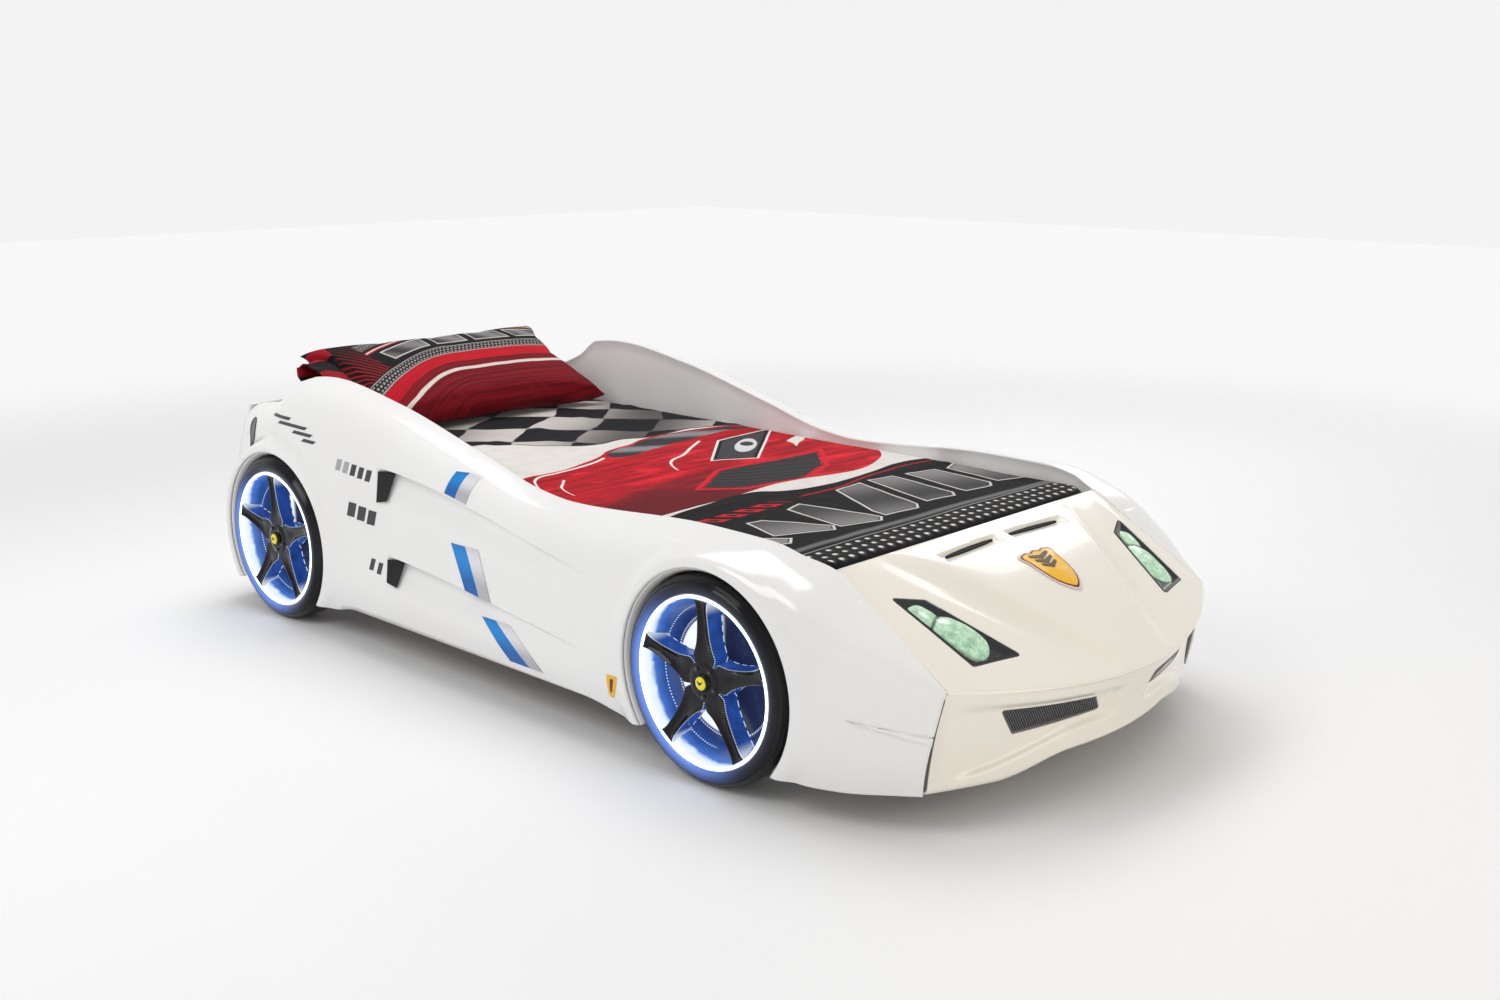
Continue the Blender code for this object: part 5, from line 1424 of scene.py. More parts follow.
def make_side_trim(side, sign):
    """Two mesh grilles in the scoops, and the dark teardrop of the tail light."""
    for name, which, end, height, slope in (("upper", 0, SCOOP_Y, 0.070, 0.008),
                                            ("lower", 1, LOWER_SCOOP_Y, 0.066, -0.006)):
        back, front = end - 0.004, end - SCOOP_WALL + 0.004
        crease = crease_heights(np.array([front, back]))[which]
        flat = np.array([(back, crease[1] - 0.007), (front, crease[0] - 0.007),
                         (front, crease[0] - height), (back, crease[1] - height - slope)])
        half = side_half(flat[:, 0], flat[:, 1])
        points = np.stack([half * sign, flat[:, 0], flat[:, 1]], 1)
        normal = np.cross(points[1] - points[0], points[3] - points[0])
        normal *= np.sign(normal[0] * sign) / np.linalg.norm(normal)
        points = points + normal * 0.0062
        if sign > 0:
            corners = (points[1], points[0], points[3], points[2])
        else:
            corners = (points[0], points[1], points[2], points[3])
        height_plate("scoop_mesh_" + name + "_" + side, corners, (70, 130),
                     framed_relief(diamond_ridges, 0.0016, 0.0018, 0.0008), 0.002,
                     MESH_BLACK, "scoop_grille_" + name + "_" + side)
    angle = np.linspace(0, 2 * math.pi, 60, endpoint=False)
    drop = np.stack([np.cos(angle) * 0.025 * (0.62 + 0.38 * np.sin(angle)) - 0.004 * np.sin(angle),
                     np.sin(angle) * 0.044], 1)
    middle = (TAIL_Y - 0.090, 0.436)
    rings = []
    for scale, rise in ((1.0, -0.002), (1.0, 0.0018), (0.93, 0.0026), (0.86, 0.0014), (0.55, 0.0015),
                        (0.25, 0.0016)):
        y, z = middle[0] + drop[:, 0] * scale, middle[1] + drop[:, 1] * scale
        rings.append(np.stack([(side_half(y, z) + rise) * sign, y - tail_lean(y, z), z], 1))
    ring_stack("tail_lamp_" + side, rings, TRIM_BLACK, "bed", ["tail_light_" + side],
               sharp=60)


def skin_film(name, outline_y, outline_z, sign, rise, finish):
    """A thin film on the side: a grid in (y, z) laid on the body at a small rise, with a backing."""
    outline_y, outline_z = np.broadcast_arrays(outline_y, outline_z)
    half = side_half(outline_y, outline_z)
    face, back = (np.stack([(half + lift) * sign, outline_y, outline_z], -1)
                  for lift in (rise, rise - 0.0005))
    rows, cols = outline_y.shape
    u, v = np.meshgrid(np.linspace(0, 1, rows), np.linspace(0, 1, cols), indexing="ij")
    uv = np.stack([u.ravel(), v.ravel()], 1)
    return place_piece(name, slab_mesh(name, face, back, uv, uv), finish, "bed", ())


STRIPES = (
    # (z top, z bottom, blue rear, blue front and silver front at the top, then the same at the bottom)
    (0.474, 0.392, (0.2140, 0.1800, 0.1460), (0.2300, 0.1930, 0.1560)),
    (0.3240, 0.2200, (0.1995, 0.1505, 0.1085), (0.1355, 0.0905, 0.0535)),
    (0.1840, 0.1080, (0.0915, 0.0435, -0.0035), (-0.0055, -0.0715, -0.1135)),
)


def make_stripes(side, sign):
    """Blue and silver foil in three lengths, broken where the side's creases pass."""
    for number, (high, low, tops, feet) in enumerate(STRIPES, 1):
        for colour, finish, first, last in (("blue", FOIL_BLUE, 0, 1), ("silver", FOIL_SILVER, 1, 2)):
            t = np.linspace(0, 1, 60)[None, :]
            s = np.linspace(0, 1, 10)[:, None]
            bow = 0.006 * np.sin(math.pi * t) * (1 if number == 3 else 0)
            rear = tops[first] + (feet[first] - tops[first]) * t
            front = tops[last] + (feet[last] - tops[last]) * t
            y = rear + (front - rear) * s - bow
            foot = np.maximum(low, crease_heights(y)[0] + 0.004) if number == 1 else low
            z = high + (foot - high) * t
            skin_film("stripe_%s_%d_%s" % (colour, number, side), y, z, sign, 0.0009 + 0.0002 * last, finish)


def make_side_marks(side, sign):
    """Plain slanting bars where the side carries its marks, and a small shield ahead of the front arch."""
    def bar(name, y0, y1, z0, z1, slant, finish):
        s = np.linspace(0, 1, 12)[:, None]
        t = np.linspace(0, 1, 8)[None, :]
        y = y1 + (y0 - y1) * s + slant * (t - 0.5)
        skin_film(name + "_" + side, y, z0 + (z1 - z0) * t, sign, 0.0008, finish)

    for i, (y0, y1, z0, z1) in enumerate(((0.735, 0.790, 0.462, 0.470), (0.750, 0.835, 0.476, 0.484),
                                          (0.775, 0.905, 0.490, 0.498), (0.850, 0.940, 0.504, 0.512))):
        bar("speed_mark_%d" % (i + 1), y0, y1, z0, z1, -0.014, MARK_BLACK)
    for name, count, first, pitch, width, low, high, climb, slant in (
            ("upper", 5, 0.500, 0.030, 0.019, 0.409, 0.436, 0.002, -0.010),
            ("middle", 3, 0.478, 0.040, 0.030, 0.312, 0.345, 0.003, -0.008),
            ("lower", 2, 0.448, 0.030, 0.016, 0.204, 0.232, 0.004, -0.010)):
        for i in range(count):
            start, lift = first + pitch * i, climb * i
            bar("%s_mark_%d" % (name, i + 1), start, start + width, low + lift, high + lift, slant,
                MARK_GREY if name == "upper" and i > 2 else MARK_BLACK)
    t = np.linspace(0, 1, 24)[None, :]
    s = np.linspace(-1, 1, 13)[:, None]
    width = 0.017 * np.sqrt(np.clip(1 - t**2.4, 0, 1)) + 0.0004
    y = FRONT_HUB_Y + 0.243 + s * width * 0.8 + 0.004 * t
    skin_film("side_shield_" + side, y, 0.158 - 0.048 * t, sign, 0.0008, BADGE_GOLD)
    inner = FRONT_HUB_Y + 0.243 + s * width * 0.25 + 0.004 * t
    skin_film("side_shield_mark_" + side, inner, 0.151 - 0.030 * t, sign, 0.0014, BADGE_RED)


def shield_outline(scale):
    """Half of a shield, mirrored: a notched top, shoulders, a waist and a rounded point."""
    half = np.array([(0.000, -0.126), (0.018, -0.131), (0.030, -0.127), (0.050, -0.130), (0.056, -0.137),
                     (0.050, -0.150), (0.048, -0.165), (0.045, -0.185), (0.041, -0.200), (0.034, -0.215),
                     (0.022, -0.228), (0.010, -0.237), (0.000, -0.241)])
    centre = np.array((0.0, -0.178))
    whole = np.concatenate([half, half[-2:0:-1] * (-1, 1)])
    return centre + (whole - centre) * scale + (0, OPEN_Y)


def make_badge():
    """A small shield in thin layers: pale border, dark line and gold field, with three chevrons on it."""
    layers = (("badge_border", 1.0, 0.0032, BADGE_EDGE), ("badge_outline", 0.93, 0.0038, BADGE_RED),
              ("badge_field", 0.86, 0.0044, BADGE_GOLD))
    for name, scale, rise, finish in layers:
        outline = shield_outline(scale)
        rings = [on_bonnet(outline, 1.0, rise - 0.0022), on_bonnet(outline, 1.0, rise - 0.0003),
                 on_bonnet(shield_outline(scale - 0.01), 1.0, rise)]
        ring_stack(name, rings, finish, "bed", ["bonnet_badge"] if scale == 1.0 else (),
                   sharp=30)
    for number, (low, high, width) in enumerate(((-0.150, -0.156, 0.030), (-0.163, -0.169, 0.026),
                                                 (-0.176, -0.182, 0.022)), 1):
        x = np.array([-width, -width, 0.0, width, width, 0.0])
        y = OPEN_Y + np.array([low + 0.010, high + 0.010, high, high + 0.010, low + 0.010, low])
        outline = np.stack([x, y], 1)
        rings = [on_bonnet(outline, 1.0, 0.0040), on_bonnet(outline, 1.0, 0.0050)]
        ring_stack("badge_chevron_%d" % number, rings, BADGE_MARK, "bed", (), sharp=30)


def make_slots():
    """The two dark air slots on the bonnet: slim near-black leaves laid in their recesses as painted shade of
    the slot openings.
    """
    for side, sign in SIDES:
        along = np.linspace(0, 1, 40)
        half = 0.0056 * np.sqrt(np.clip(np.sin(np.pi * np.clip(along * 0.9 + 0.05, 0, 1)), 0.05, 1))
        x = SLOT_INNER[0] + (SLOT_OUTER[0] - SLOT_INNER[0]) * (0.04 + 0.93 * along)
        middle = OPEN_Y + SLOT_INNER[1] + (SLOT_OUTER[1] - SLOT_INNER[1]) * along + 0.0035
        outline = np.concatenate([np.stack([x, middle + half], 1), np.stack([x, middle - half], 1)[::-1]])
        depth = -slot_recess(outline[:, 0], outline[:, 1])
        rings = []
        for grow, rise in ((0.0, -0.002), (0.0, 0.0026), (-0.0010, 0.0032), (-0.0022, 0.0022)):
            ring = on_bonnet(grown(outline, grow), sign, 0.0)
            ring[:, 2] += depth + rise
            rings.append(ring)
        ring_stack("bonnet_slot_" + side, rings, SLOT_SHADE, "bed", (), sharp=50)


def make_front_grilles():
    """Ribbed grilles set in the bumper's openings."""
    for side, sign in SIDES:
        outline = np.array(FRONT_GRILLE)
        points = on_bumper(outline, sign, 0.0005)
        outer_top, outer_low, inner_low, inner_top = points
        corners = (outer_low, inner_low, inner_top, outer_top) if sign < 0 else (inner_low, outer_low,
                                                                                 outer_top, inner_top)
        height_plate("bumper_grille_" + side, corners, (330, 60),
                     framed_relief(rib_ridges, 0.0022, 0.0022, 0.0010), 0.004, MESH_BLACK,
                     "front_grille_" + side)


# ---------------------------------------------------------------- wheels
def make_tyre(name, sign, hub):
    """A tyre with a rounded tread, a shoulder line and a flat, faintly ringed wall."""
    inner, r = LED_RADIUS + GAP, WHEEL_RADIUS
    profile = [(inner, -0.082), (r - 0.006, -0.082), (r - 0.002, -0.079), (r, -0.071), (r, -0.030),
               (r - 0.0008, -0.022), (r - 0.003, -0.014), (r - 0.007, -0.007), (r - 0.0115, -0.0025),
               (r - 0.0125, -0.0030), (r - 0.0140, -0.0014), (r - 0.018, 0.0014), (r - 0.023, 0.0020),
               (r - 0.029, 0.0012), (inner + 0.004, -0.0004), (inner + 0.0015, -0.0016), (inner, -0.0040)]
    mesh = turned_mesh("tyre_skin", profile, hub, sign, 160, closed=True)
    place_piece("tyre_skin_" + name, mesh, TYRE_BLACK, "bed", ["tyre_" + name], 45)


def make_dish(name, sign, hub):
    """The lit dish: from the lamps it narrows in a cone to a flat floor."""
    profile = [(0.1652, -0.0050), (0.1600, -0.0075), (0.1560, -0.014), (0.1520, -0.024), (0.1470, -0.036),
               (0.1400, -0.050), (0.1330, -0.060), (0.1220, -0.0640), (0.1180, -0.0645), (0.060, -0.0660),
               (0.001, -0.0665)]
    share = np.array([0.0, 0.06, 0.13, 0.21, 0.32, 0.44, 0.55, 0.60, 0.625, 0.85, 1.0])
    back = [(radius, depth - 0.003) for radius, depth in profile[::-1]]
    mesh = turned_mesh("dish_skin", profile + back, hub, sign, 120, closed=True,
                       wrap=np.concatenate([share, share[::-1], share[:1]]))
    place_piece("dish_skin_" + name, mesh, BARREL_BLUE, "bed", ["wheel_pan_" + name], 45)


def make_lamp_ring(name, sign, hub):
    """The ring of lamps: a narrow rounded strip between tyre and rim."""
    middle, half = LED_RADIUS - 0.0028, 0.0028
    angle = np.linspace(0, math.pi, 9)
    profile = [(middle + half * math.cos(a), 0.0024 * math.sin(a) - 0.0035) for a in angle]
    profile += [(middle - half, -0.0055), (middle + half, -0.0055)]
    mesh = turned_mesh("lamp_ring", profile, hub, sign, 160, closed=True)
    place_piece("lamp_ring_" + name, mesh, LAMP_RING, "bed", ["light_ring_" + name], 60)


def make_spokes(name, sign, hub):
    """Five spokes: each is a section carried out from the hub.

    The half width w(r) is wide at the hub, waisted at two thirds and flares at the rim; the face has
    two ridges with a valley between them, and deep flanks fall away behind its edges.
    """
    r = np.linspace(0.018, SPOKE_TIP, 46)
    width = line([(0.018, 0.0126), (0.040, 0.0262), (0.048, 0.0285), (0.058, 0.0245), (0.075, 0.0188),
                  (0.100, 0.0150), (0.122, 0.0132), (0.140, 0.0130), (0.150, 0.0142), (SPOKE_TIP, 0.0175)], r)
    crest = WHEEL_FACE - 0.0020 - 0.0095 * (1 - (r / SPOKE_TIP)**1.5)
    valley = line([(0.018, 0.0002), (0.05, 0.0012), (0.08, 0.0048), (0.12, 0.0058), (0.150, 0.0035),
                   (SPOKE_TIP, 0.0005)], r)
    section = np.array([(-1.0, 1.0, 0.0), (-1.0, 0.55, 0.0), (-1.0, 0.12, 0.0), (-0.985, 0.03, 0.0),
                        (-0.93, 0.0, 0.0), (-0.80, 0.0, -0.04), (-0.62, 0.0, 0.35), (-0.40, 0.0, 0.85),
                        (-0.15, 0.0, 1.0), (0.0, 0.0, 1.0)])
    section = np.concatenate([section, (section[:-1] * (-1, 1, 1))[::-1]])
    marks = np.array([0.0, 0.15, 0.27, 0.29, 0.31, 0.34, 0.38, 0.43, 0.48, 0.5])
    marks = np.concatenate([marks, 1 - marks[:-1][::-1]])
    flank = np.minimum(0.040, 0.030 + r * 0.08)
    t = width[:, None] * section[None, :, 0] * (1 + 0.05 * section[None, :, 1])
    depth = crest[:, None] - flank[:, None] * section[None, :, 1] - valley[:, None] * section[None, :, 2]
    points, faces, uvs = [], [], []
    rows, cols = t.shape
    for k in range(5):
        angle = math.pi / 2 + k * 2 * math.pi / 5
        radial, tangent = (math.cos(angle), math.sin(angle)), (-math.sin(angle), math.cos(angle))
        y = hub + r[:, None] * radial[0] + t * tangent[0]
        z = HUB_Z + r[:, None] * radial[1] + t * tangent[1]
        grid = np.stack([sign * depth, y, z], -1)
        faces.append(grid_faces(rows, cols, len(points) * rows * cols, around=True))
        points.append(grid.reshape(-1, 3))
        uvs.append(np.stack(np.broadcast_arrays(r[:, None], marks[None, :]), -1).reshape(-1, 2))
    start = 5 * rows * cols
    angle = np.arange(80) * 2 * math.pi / 80
    hub_profile = np.array([(0.0005, -0.052), (0.030, -0.052), (0.040, -0.022), (0.0395, -0.0118),
                            (0.036, -0.0095), (0.026, -0.0088), (0.0175, -0.0085), (0.0155, -0.0030),
                            (0.0150, -0.0024), (0.0005, -0.0024)])
    y = hub + hub_profile[:, :1] * np.cos(angle)
    z = HUB_Z + hub_profile[:, :1] * np.sin(angle)
    x = np.broadcast_to(sign * (WHEEL_FACE + hub_profile[:, 1:]), y.shape)
    points.append(np.stack([x, y, z], -1).reshape(-1, 3))
    faces.append(grid_faces(len(hub_profile), 80, start, around=True))
    uvs.append(np.tile((0.02, 0.5), (len(hub_profile) * 80, 1)))
    mesh = raw_mesh("spokes", np.concatenate(points), np.concatenate(faces), np.concatenate(uvs))
    weld(mesh, recalc=True)
    place_piece("spokes_" + name, mesh, SPOKE_BLACK, "bed", ["rim_" + name], 30)
    for k in range(5):
        angle = math.pi / 2 + (k + 0.5) * 2 * math.pi / 5
        centre = (hub + 0.0285 * math.cos(angle), HUB_Z + 0.0285 * math.sin(angle))
        make_bolt("wheel_bolt_%d_%s" % (k + 1, name), sign, centre)


def make_bolt(name, sign, centre):
    """A six-sided bolt head sunk in a round seat."""
    steps, flat = 24, 0.0036
    turn = np.arange(steps) * 2 * math.pi / steps
    hexed = flat / np.cos((turn + math.pi / 6) % (math.pi / 3) - math.pi / 6)
    rings = []
    for scale, depth in ((1.35, 0.0120), (1.35, 0.0080), (1.15, 0.0076), (1.0, 0.0086), (1.0, 0.0056),
                         (0.8, 0.0050)):
        radius = hexed * scale if scale <= 1.0 else np.full(steps, flat * scale)
        rings.append(np.stack([np.full(steps, sign * (WHEEL_FACE - depth)), centre[0] + radius * np.cos(turn),
                               centre[1] + radius * np.sin(turn)], 1))
    ring_stack(name, rings, GLOSS_BLACK, "bed", (), sharp=40)


def make_cap(name, sign, hub):
    """A domed yellow centre cap with a dark ring and a small plain chevron."""
    profile = [(0.0002, -0.0024), (CAP_RADIUS, -0.0024), (CAP_RADIUS, -0.0002),
               (CAP_RADIUS - 0.0012, 0.0006), (CAP_RADIUS * 0.6, 0.0013), (0.0002, 0.0016)]
    mesh = turned_mesh("centre_cap", profile, hub, sign, 60)
    place_piece("centre_cap_" + name, mesh, CAP_YELLOW, "bed", ["hub_cap_" + name], 50)
    outline = np.array([(-0.0060, 0.0050), (-0.0060, 0.0020), (0.0, -0.0040), (0.0060, 0.0020),
                        (0.0060, 0.0050), (0.0, -0.0010)])
    rings = [np.stack([np.full(6, sign * (WHEEL_FACE + rise)), hub + outline[:, 0], HUB_Z + outline[:, 1]], 1)
             for rise in (0.0006, 0.0020)]
    ring_stack("cap_chevron_" + name, rings, BADGE_MARK, "bed", (), sharp=30)


# ---------------------------------------------------------------- bedding
def ripple(x, y, seed, count, low, high):
    """A sum of slow sine waves with seeded directions, lengths from low to high, and phases."""
    rng = np.random.default_rng(seed)
    total = np.zeros(np.broadcast(x, y).shape)
    for _ in range(count):
        angle, length, phase = rng.uniform(0, math.pi), rng.uniform(low, high), rng.uniform(0, 2 * math.pi)
        total += np.sin((x * math.cos(angle) + y * math.sin(angle)) * 2 * math.pi / length
                        + phase) * length / high
    return total / count


def make_mattress():
    """Foam mattress in ticking: rounded edges with piping."""
    front = OPEN_Y + WELL_CLEAR / 2
    back = front + MATTRESS_LENGTH
    low, high = SLAT_TOP + GAP, MATTRESS_TOP - 0.002
    side = MATTRESS_WIDTH / 2 - 0.001
    outline = rounded_outline([(-side, front), (side, front), (side, back), (-side, back)], 0.058, 10, 40)
    rings = []
    for inset, z in ((0.30, low), (0.12, low), (0.030, low + 0.001), (0.010, low + 0.006),
                     (0.002, low + 0.014), (0.0, low + 0.020), (0.002, low + 0.024), (0.002, high - 0.024),
                     (0.0, high - 0.020), (0.002, high - 0.014), (0.010, high - 0.006),
                     (0.030, high - 0.001), (0.12, high), (0.30, high)):
        if inset > 0.05:
            shrunk = np.stack([np.clip(outline[:, 0], -side + inset, side - inset),
                               np.clip(outline[:, 1], front + inset, back - inset)], 1)
        else:
            shrunk = grown(outline, -inset)
        rings.append(np.column_stack([shrunk, np.full(len(outline), z)]))
    piece = ring_stack("mattress_cover", rings, TICKING, "mattress", ["mattress"],
                       sharp=60)


def make_bedspread():
    """A thin printed cover: gently rumpled on the mattress, rolled down into the gap along its edges.

    Height is a low crown plus two sets of seeded ripples; near an edge it follows a quarter circle
    down. The print is laid on the flat (x, y) of the cut cloth.
    """
    half, front = MATTRESS_WIDTH / 2, OPEN_Y + WELL_CLEAR / 2
    back = front + MATTRESS_LENGTH
    roll, drop = 0.026, 0.020
    arc = roll * math.pi / 2
    rows, cols = 400, 201
    u = np.linspace(-half + roll - arc - drop, half - roll + arc + drop, cols)[None, :]
    v = np.linspace(front + roll - arc - drop, back - roll + arc + drop, rows)[:, None]
    u, v = np.broadcast_arrays(u, v)

    def rolled(t, low, high):
        """Place and fall of a point t along the cloth, past an edge of the flat top at low or high."""
        over = np.maximum(low + roll - t, 0) + np.maximum(t - high + roll, 0)
        sign = np.where(t < (low + high) / 2, -1.0, 1.0)
        angle = np.minimum(over, arc) / roll
        base = np.where(sign < 0, low + roll, high - roll)
        place = np.where(over > 0, base + sign * roll * np.sin(angle), t)
        fall = roll * (1 - np.cos(angle)) + np.maximum(over - arc, 0)
        return place, fall

    x, fall_x = rolled(u, -half, half)
    y, fall_y = rolled(v, front, back)
    fall = np.maximum(fall_x, fall_y) + 0.25 * np.minimum(fall_x, fall_y)
    corner = ease((np.minimum(np.abs(x) - half + 0.06, np.maximum(front + 0.06 - y, y - back + 0.06))) / 0.06)
    x = x - np.sign(x) * 0.016 * corner
    y = y - np.sign(y - (front + back) / 2) * 0.016 * corner
    calm = 1 - ease(fall / 0.01)
    crown = 0.004 * (1 - (x / half)**2) * calm
    large = ripple(x, y, 5, 9, 0.18, 0.50)
    small = ripple(x, y, 11, 16, 0.04, 0.13)
    folds = np.exp(-((y - 0.60 - 0.25 * x) / 0.018)**2) + 0.7 * np.exp(-((y - 0.44 + 0.35 * x) / 0.015)**2) \
        + 0.6 * np.exp(-((y - 0.05 - 0.6 * x) / 0.016)**2) + 0.5 * np.exp(-((y + 0.33 + 0.12 * x) / 0.014)**2)
    z = MATTRESS_TOP + 0.0075 - fall + crown + calm * (0.0055 * large + 0.0018 * small + 0.0026 * folds)
    z = np.minimum(z, SPREAD_TOP + 0.004)
    points = np.stack([x, y, z], -1).reshape(-1, 3)
    mesh = raw_mesh("bedspread_cloth", points, grid_faces(rows, cols), np.stack([u, v], -1).reshape(-1, 2))
    weld(mesh, outward=lambda c, n: n.z)
    piece = place_piece("bedspread_cloth", mesh, SPREAD_PRINT, "bedspread", ["bedspread"],
                        80)
    solidify(piece, 0.0015)
    wide, long = float(u.max() - u.min()), float(v.max() - v.min())


def pillow_frame():
    """The tilted frame in which the pillow's print is laid: its centre and its two in-plane axes."""
    low, high = (np.array(c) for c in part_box("pillow"))
    across = np.array((1.0, 0.0, 0.0))
    up = np.array((0.0, math.cos(PILLOW_TILT), math.sin(PILLOW_TILT)))
    centre = (low + high) / 2 + across * 0.020 - up * 0.018
    return centre, across, up, np.cross(across, up)


def make_pillow():
    """A filled pillow in its case, leaning on the tail wall.

    The form is a superellipse with drawn-out corners; its thickness falls as
    (1 - |a|^3)^0.5 (1 - |b|^3)^0.5. A short cloth simulation under pressure then rumples it.
    """
    width, height, thick = PILLOW_SIZE[0], PILLOW_SIZE[1] + 0.036, PILLOW_SIZE[2]
    centre, across, up, out = pillow_frame()
    a = np.sin(np.linspace(-1, 1, 97) * math.pi / 2)[None, :]
    b = np.sin(np.linspace(-1, 1, 61) * math.pi / 2)[:, None]
    a, b = np.broadcast_arrays(a, b)
    pull = 1 - 0.10 * (1 - np.abs(b)**2) * np.abs(a)**6
    draw = 1 - 0.12 * (1 - np.abs(a)**2) * np.abs(b)**6
    u = a * width / 2 * pull * 0.985
    v = b * height / 2 * draw * 0.985
    puff = (1 - np.abs(a)**3.2)**0.5 * (1 - np.abs(b)**2.8)**0.5
    rise = 0.52 * thick * puff * (1 + 0.05 * ripple(u, v, 3, 6, 0.1, 0.3)) + 0.0006
    front = centre + u[..., None] * across + v[..., None] * up + rise[..., None] * out
    back = centre + u[..., None] * across + v[..., None] * up - (0.85 * rise)[..., None] * out
    mesh = slab_mesh("pillow_cushion", front, back)
    piece = place_piece("pillow_cushion", mesh, PILLOW_PRINT, "pillow", ["pillow"], 80)
    puff_up(piece, voxel=0.007, most=0.012)
    lay_print(piece, centre, across, up)
    make_case_mouth(centre, across, up, out)


def puff_up(piece, voxel, most):
    """Remeshes a closed soft form, swells it as cloth under pressure, and caps how far a point moves."""
    remesh = piece.modifiers.new("even", "REMESH")
    remesh.mode = "VOXEL"
    remesh.voxel_size = voxel
    applied(piece)
    start = np.empty(len(piece.data.vertices) * 3, np.float32)
    piece.data.vertices.foreach_get("co", start)
    cloth = piece.modifiers.new("cloth", "CLOTH")
    settings = cloth.settings
    settings.use_pressure = True
    settings.uniform_pressure_force = 4.0
    settings.tension_stiffness = 12.0
    settings.bending_stiffness = 0.3
    settings.effector_weights.gravity = 0.0
    settings.shrink_min = -0.03
    scene = bpy.context.scene
    for step in range(1, 21):
        scene.frame_set(step)
    graph = bpy.context.evaluated_depsgraph_get()
    made = piece.evaluated_get(graph).to_mesh()
    end = np.empty_like(start)
    made.vertices.foreach_get("co", end)
    piece.evaluated_get(graph).to_mesh_clear()
    piece.modifiers.clear()
    scene.frame_set(1)
    move = (end - start).reshape(-1, 3)
    far = np.linalg.norm(move, axis=1)[:, None]
    move *= np.minimum(1.0, most / np.maximum(far, 1e-9))
    piece.data.vertices.foreach_set("co", (start.reshape(-1, 3) + move).ravel())
    piece.data.update()
    smooth = piece.modifiers.new("fine", "SUBSURF")
    smooth.levels = smooth.render_levels = 1
    applied(piece)


def lay_print(piece, centre, across, up):
    """Gives each corner of each face its place in the pillow's own plane, in metres."""
    mesh = piece.data
    points = np.empty(len(mesh.vertices) * 3, np.float32)
    mesh.vertices.foreach_get("co", points)
    points = points.reshape(-1, 3) - centre
    flat = np.stack([points @ across, points @ up], 1)
    index = np.empty(len(mesh.loops), np.int32)
    mesh.loops.foreach_get("vertex_index", index)
    for old in list(mesh.uv_layers):
        mesh.uv_layers.remove(old)
    layer = mesh.uv_layers.new(name="UVMap")
    layer.data.foreach_set("uv", flat[index].astype(np.float32).ravel())


def make_case_mouth(centre, across, up, out):
    """The open end of the pillow case: a loose tube past the left end, its mouth gaping a little."""
    width, height, thick = PILLOW_SIZE
    rows, cols = 26, 90
    angle = np.linspace(0, 2 * math.pi, cols, endpoint=False)[None, :]
    s = np.linspace(0, 1, rows)[:, None]
    half_high = height / 2 * (0.78 + 0.04 * s - 0.20 * ease(s))
    half_thick = thick * (0.30 + 0.02 * s + 0.10 * np.sin(s * 3.0))
    sway = 0.006 * np.sin(angle * 3 + 4 * s) * s + 0.004 * np.sin(angle * 7 - 3 * s) * s
    u = -width / 2 * 0.86 - 0.080 * s + 0.010 * np.sin(angle + 0.6) * s
    v = half_high * np.sign(np.cos(angle)) * np.abs(np.cos(angle))**0.75 + 0.030 * s
    w = (half_thick * np.sin(angle) + sway) - 0.004 * s
    points = centre + u[..., None] * across + v[..., None] * up + w[..., None] * out
    flat = np.stack([np.broadcast_to(u, v.shape), v], -1).reshape(-1, 2)
    mesh = raw_mesh("case_mouth", points.reshape(-1, 3), grid_faces(rows, cols, around=True), flat)
    weld(mesh, outward=lambda c, n: (np.array(n) @ out) * (1 if (np.array(c) - centre) @ out > 0 else -1))
    piece = place_piece("case_mouth", mesh, PILLOW_PRINT, "pillow", (), 80)
    solidify(piece, 0.0016)
    round_way = float(np.linalg.norm(points - np.roll(points, 1, axis=1), axis=-1).sum(axis=1).mean())


# ---------------------------------------------------------------- carried-over pieces
def finish_frame_nodes():
    """Gives the wooden frame, the control box and the switch their finishes."""
    cross = ["slat_%d" % i for i in range(1, 10)]
    lengthwise = ["side_board_left", "side_board_right", "slat_cleat_left", "slat_cleat_right", "centre_beam",
                  "centre_leg"]
    # the end boards take the near-black painted shade
    for names, finish in ((cross, PINE_CROSS), (lengthwise, PINE), (["foot_board", "head_board"], SHADED_END_BOARD),
                          (["lamp_control_box"], TRIM_BLACK), (["light_switch"], GLOSS_BLACK)):
        for name in names:
            for slot in bpy.data.objects[name].material_slots:
                slot.material = finish.material


# ---------------------------------------------------------------- camera, floor and light
def make_sky(scene):
    """Surrounding light: white at the horizon, greyer overhead, so that upright faces keep their shape."""
    world = bpy.data.worlds.new("studio")
    world.use_nodes = True
    tree = world.node_tree
    where = tree.nodes.new("ShaderNodeTexCoord")
    split = tree.nodes.new("ShaderNodeSeparateXYZ")
    ramp = tree.nodes.new("ShaderNodeValToRGB")
    stops = ramp.color_ramp
    stops.elements[0].color = (0.98, 0.98, 0.98, 1.0)
    stops.elements[0].position = 0.06
    stops.elements[1].color = (0.52, 0.52, 0.53, 1.0)
    stops.elements[1].position = 0.62
    tree.links.new(where.outputs["Generated"], split.inputs[0])
    tree.links.new(split.outputs["Z"], ramp.inputs["Fac"])
    tree.links.new(ramp.outputs["Color"], tree.nodes["Background"].inputs["Color"])
    tree.nodes["Background"].inputs["Strength"].default_value = 0.92
    scene.world = world


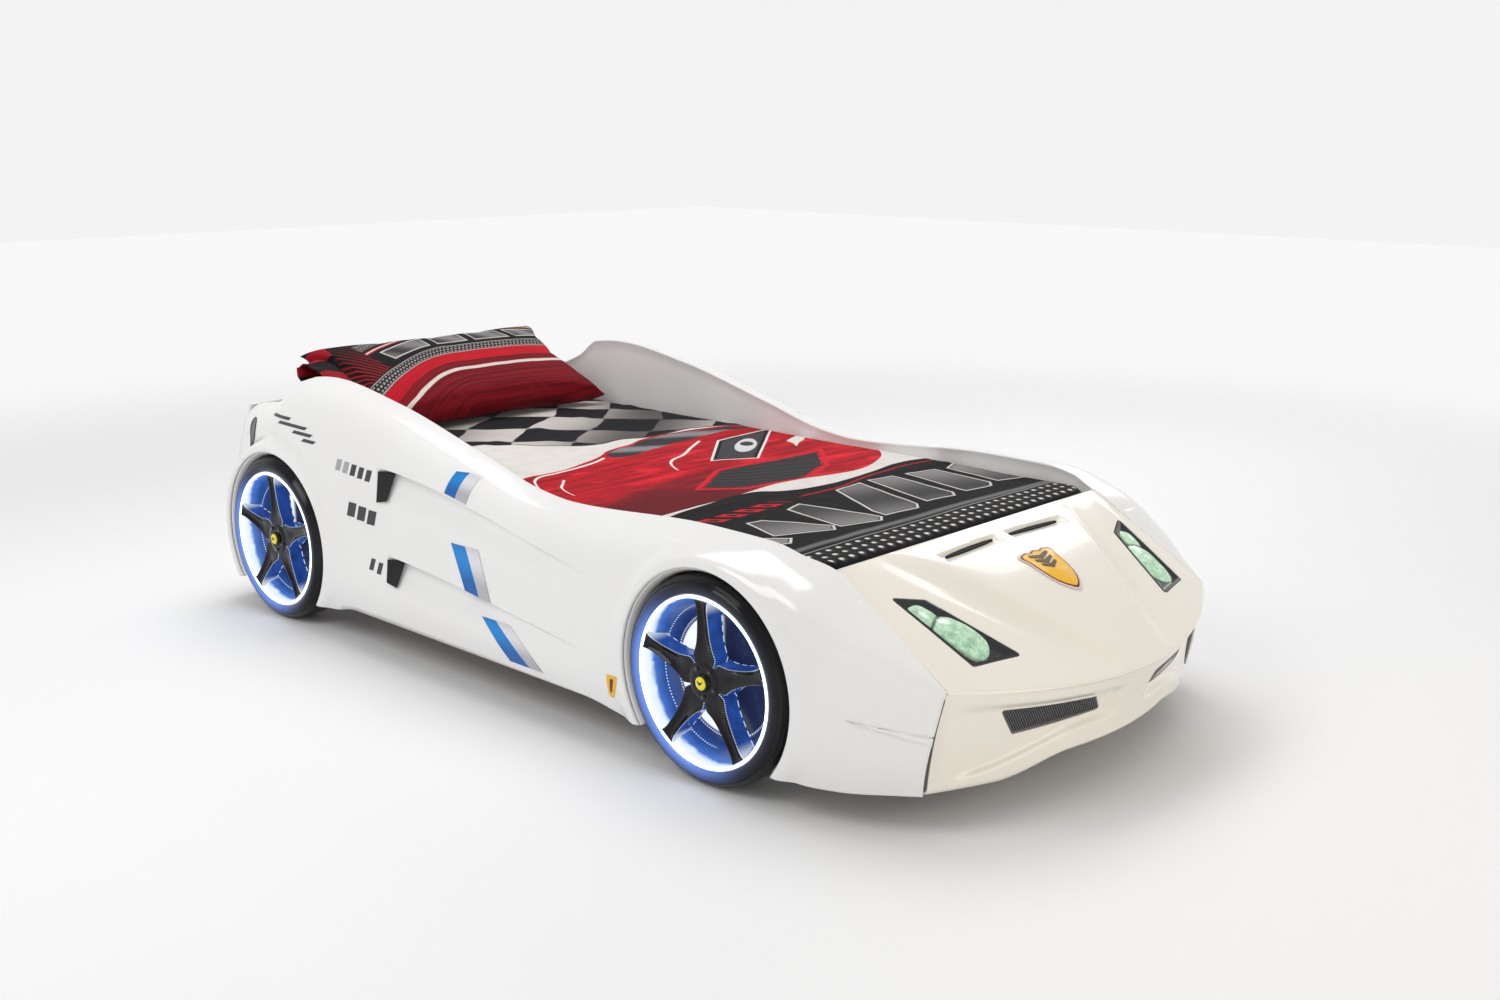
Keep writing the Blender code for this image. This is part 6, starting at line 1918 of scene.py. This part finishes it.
def make_studio():
    """A camera at three-quarter view, a pale floor, and large soft lamps round the bed."""
    scene = bpy.context.scene
    camera = bpy.data.cameras.new("camera")
    camera.lens = 37.458
    camera.sensor_width = 36.0
    camera.dof.use_dof = False
    view = bpy.data.objects.new("camera", camera)
    scene.collection.objects.link(view)
    right = (0.68403139, -0.72945066, 0.00167341)
    up = (0.17055142, 0.16216168, 0.97191347)
    back = (-0.70923429, -0.66453392, 0.23533252)
    turn = Matrix((right, up, back)).transposed().to_4x4()
    view.matrix_world = Matrix.Translation((-2.4901, -2.4873, 1.2049)) @ turn
    scene.camera = view
    mesh = raw_mesh("floor", [(-14, -14, 0), (14, -14, 0), (14, 14, 0), (-14, 14, 0)], [(0, 1, 2, 3)])
    pale = Finish("pale_floor", Roughness=0.9, Specular_IOR_Level=0.1)
    x, y = pale.parts(pale.place(), 2)
    far = ((x * x + y * y) ** 0.5).soft(1.9, 5.0)
    pale.set("Base Color", pale.mix(far, (0.88, 0.88, 0.88), (0.0, 0.0, 0.0)))
    pale.set("Emission Color", pale.mix(far, (0.0, 0.0, 0.0), (0.92, 0.92, 0.92)))
    pale.set("Emission Strength", 1.0)
    mesh.materials.append(pale.material)
    floor = bpy.data.objects.new("floor", mesh)
    scene.collection.objects.link(floor)
    scene.view_settings.view_transform = "Standard"
    make_sky(scene)
    for name, place, size, power, colour in (
            ("key", (-3.2, 0.6, 3.2), 2.0, 44.0, (1.0, 1.0, 1.0)),
            ("fill", (0.2, -4.2, 1.7), 2.0, 30.0, (1.0, 0.90, 0.76)),
            ("top", (0.4, 1.0, 3.6), 2.4, 58.0, (1.0, 1.0, 1.0)),
            ("far", (3.4, 0.6, 2.2), 1.8, 22.0, (0.97, 0.98, 1.0))):
        lamp = bpy.data.lights.new(name, "AREA")
        lamp.size, lamp.energy, lamp.color = size, power, colour
        light = bpy.data.objects.new(name, lamp)
        scene.collection.objects.link(light)
        aim = Vector(place) - Vector((0, 0, 0.3))
        light.matrix_world = Matrix.Translation(place) @ aim.to_track_quat("Z", "Y").to_matrix().to_4x4()


make_studio()
make_nose()
make_tail()
for side_name, side_sign in SIDES:
    make_side(side_name, side_sign)
    make_headlight(side_name, side_sign)
    make_side_trim(side_name, side_sign)
    make_stripes(side_name, side_sign)
    make_side_marks(side_name, side_sign)
make_front_grilles()
make_badge()
make_slots()
for wheel_name, wheel_sign, wheel_hub in WHEELS:
    make_tyre(wheel_name, wheel_sign, wheel_hub)
    make_dish(wheel_name, wheel_sign, wheel_hub)
    make_lamp_ring(wheel_name, wheel_sign, wheel_hub)
    make_spokes(wheel_name, wheel_sign, wheel_hub)
    make_cap(wheel_name, wheel_sign, wheel_hub)
make_mattress()
make_bedspread()
make_pillow()
finish_frame_nodes()
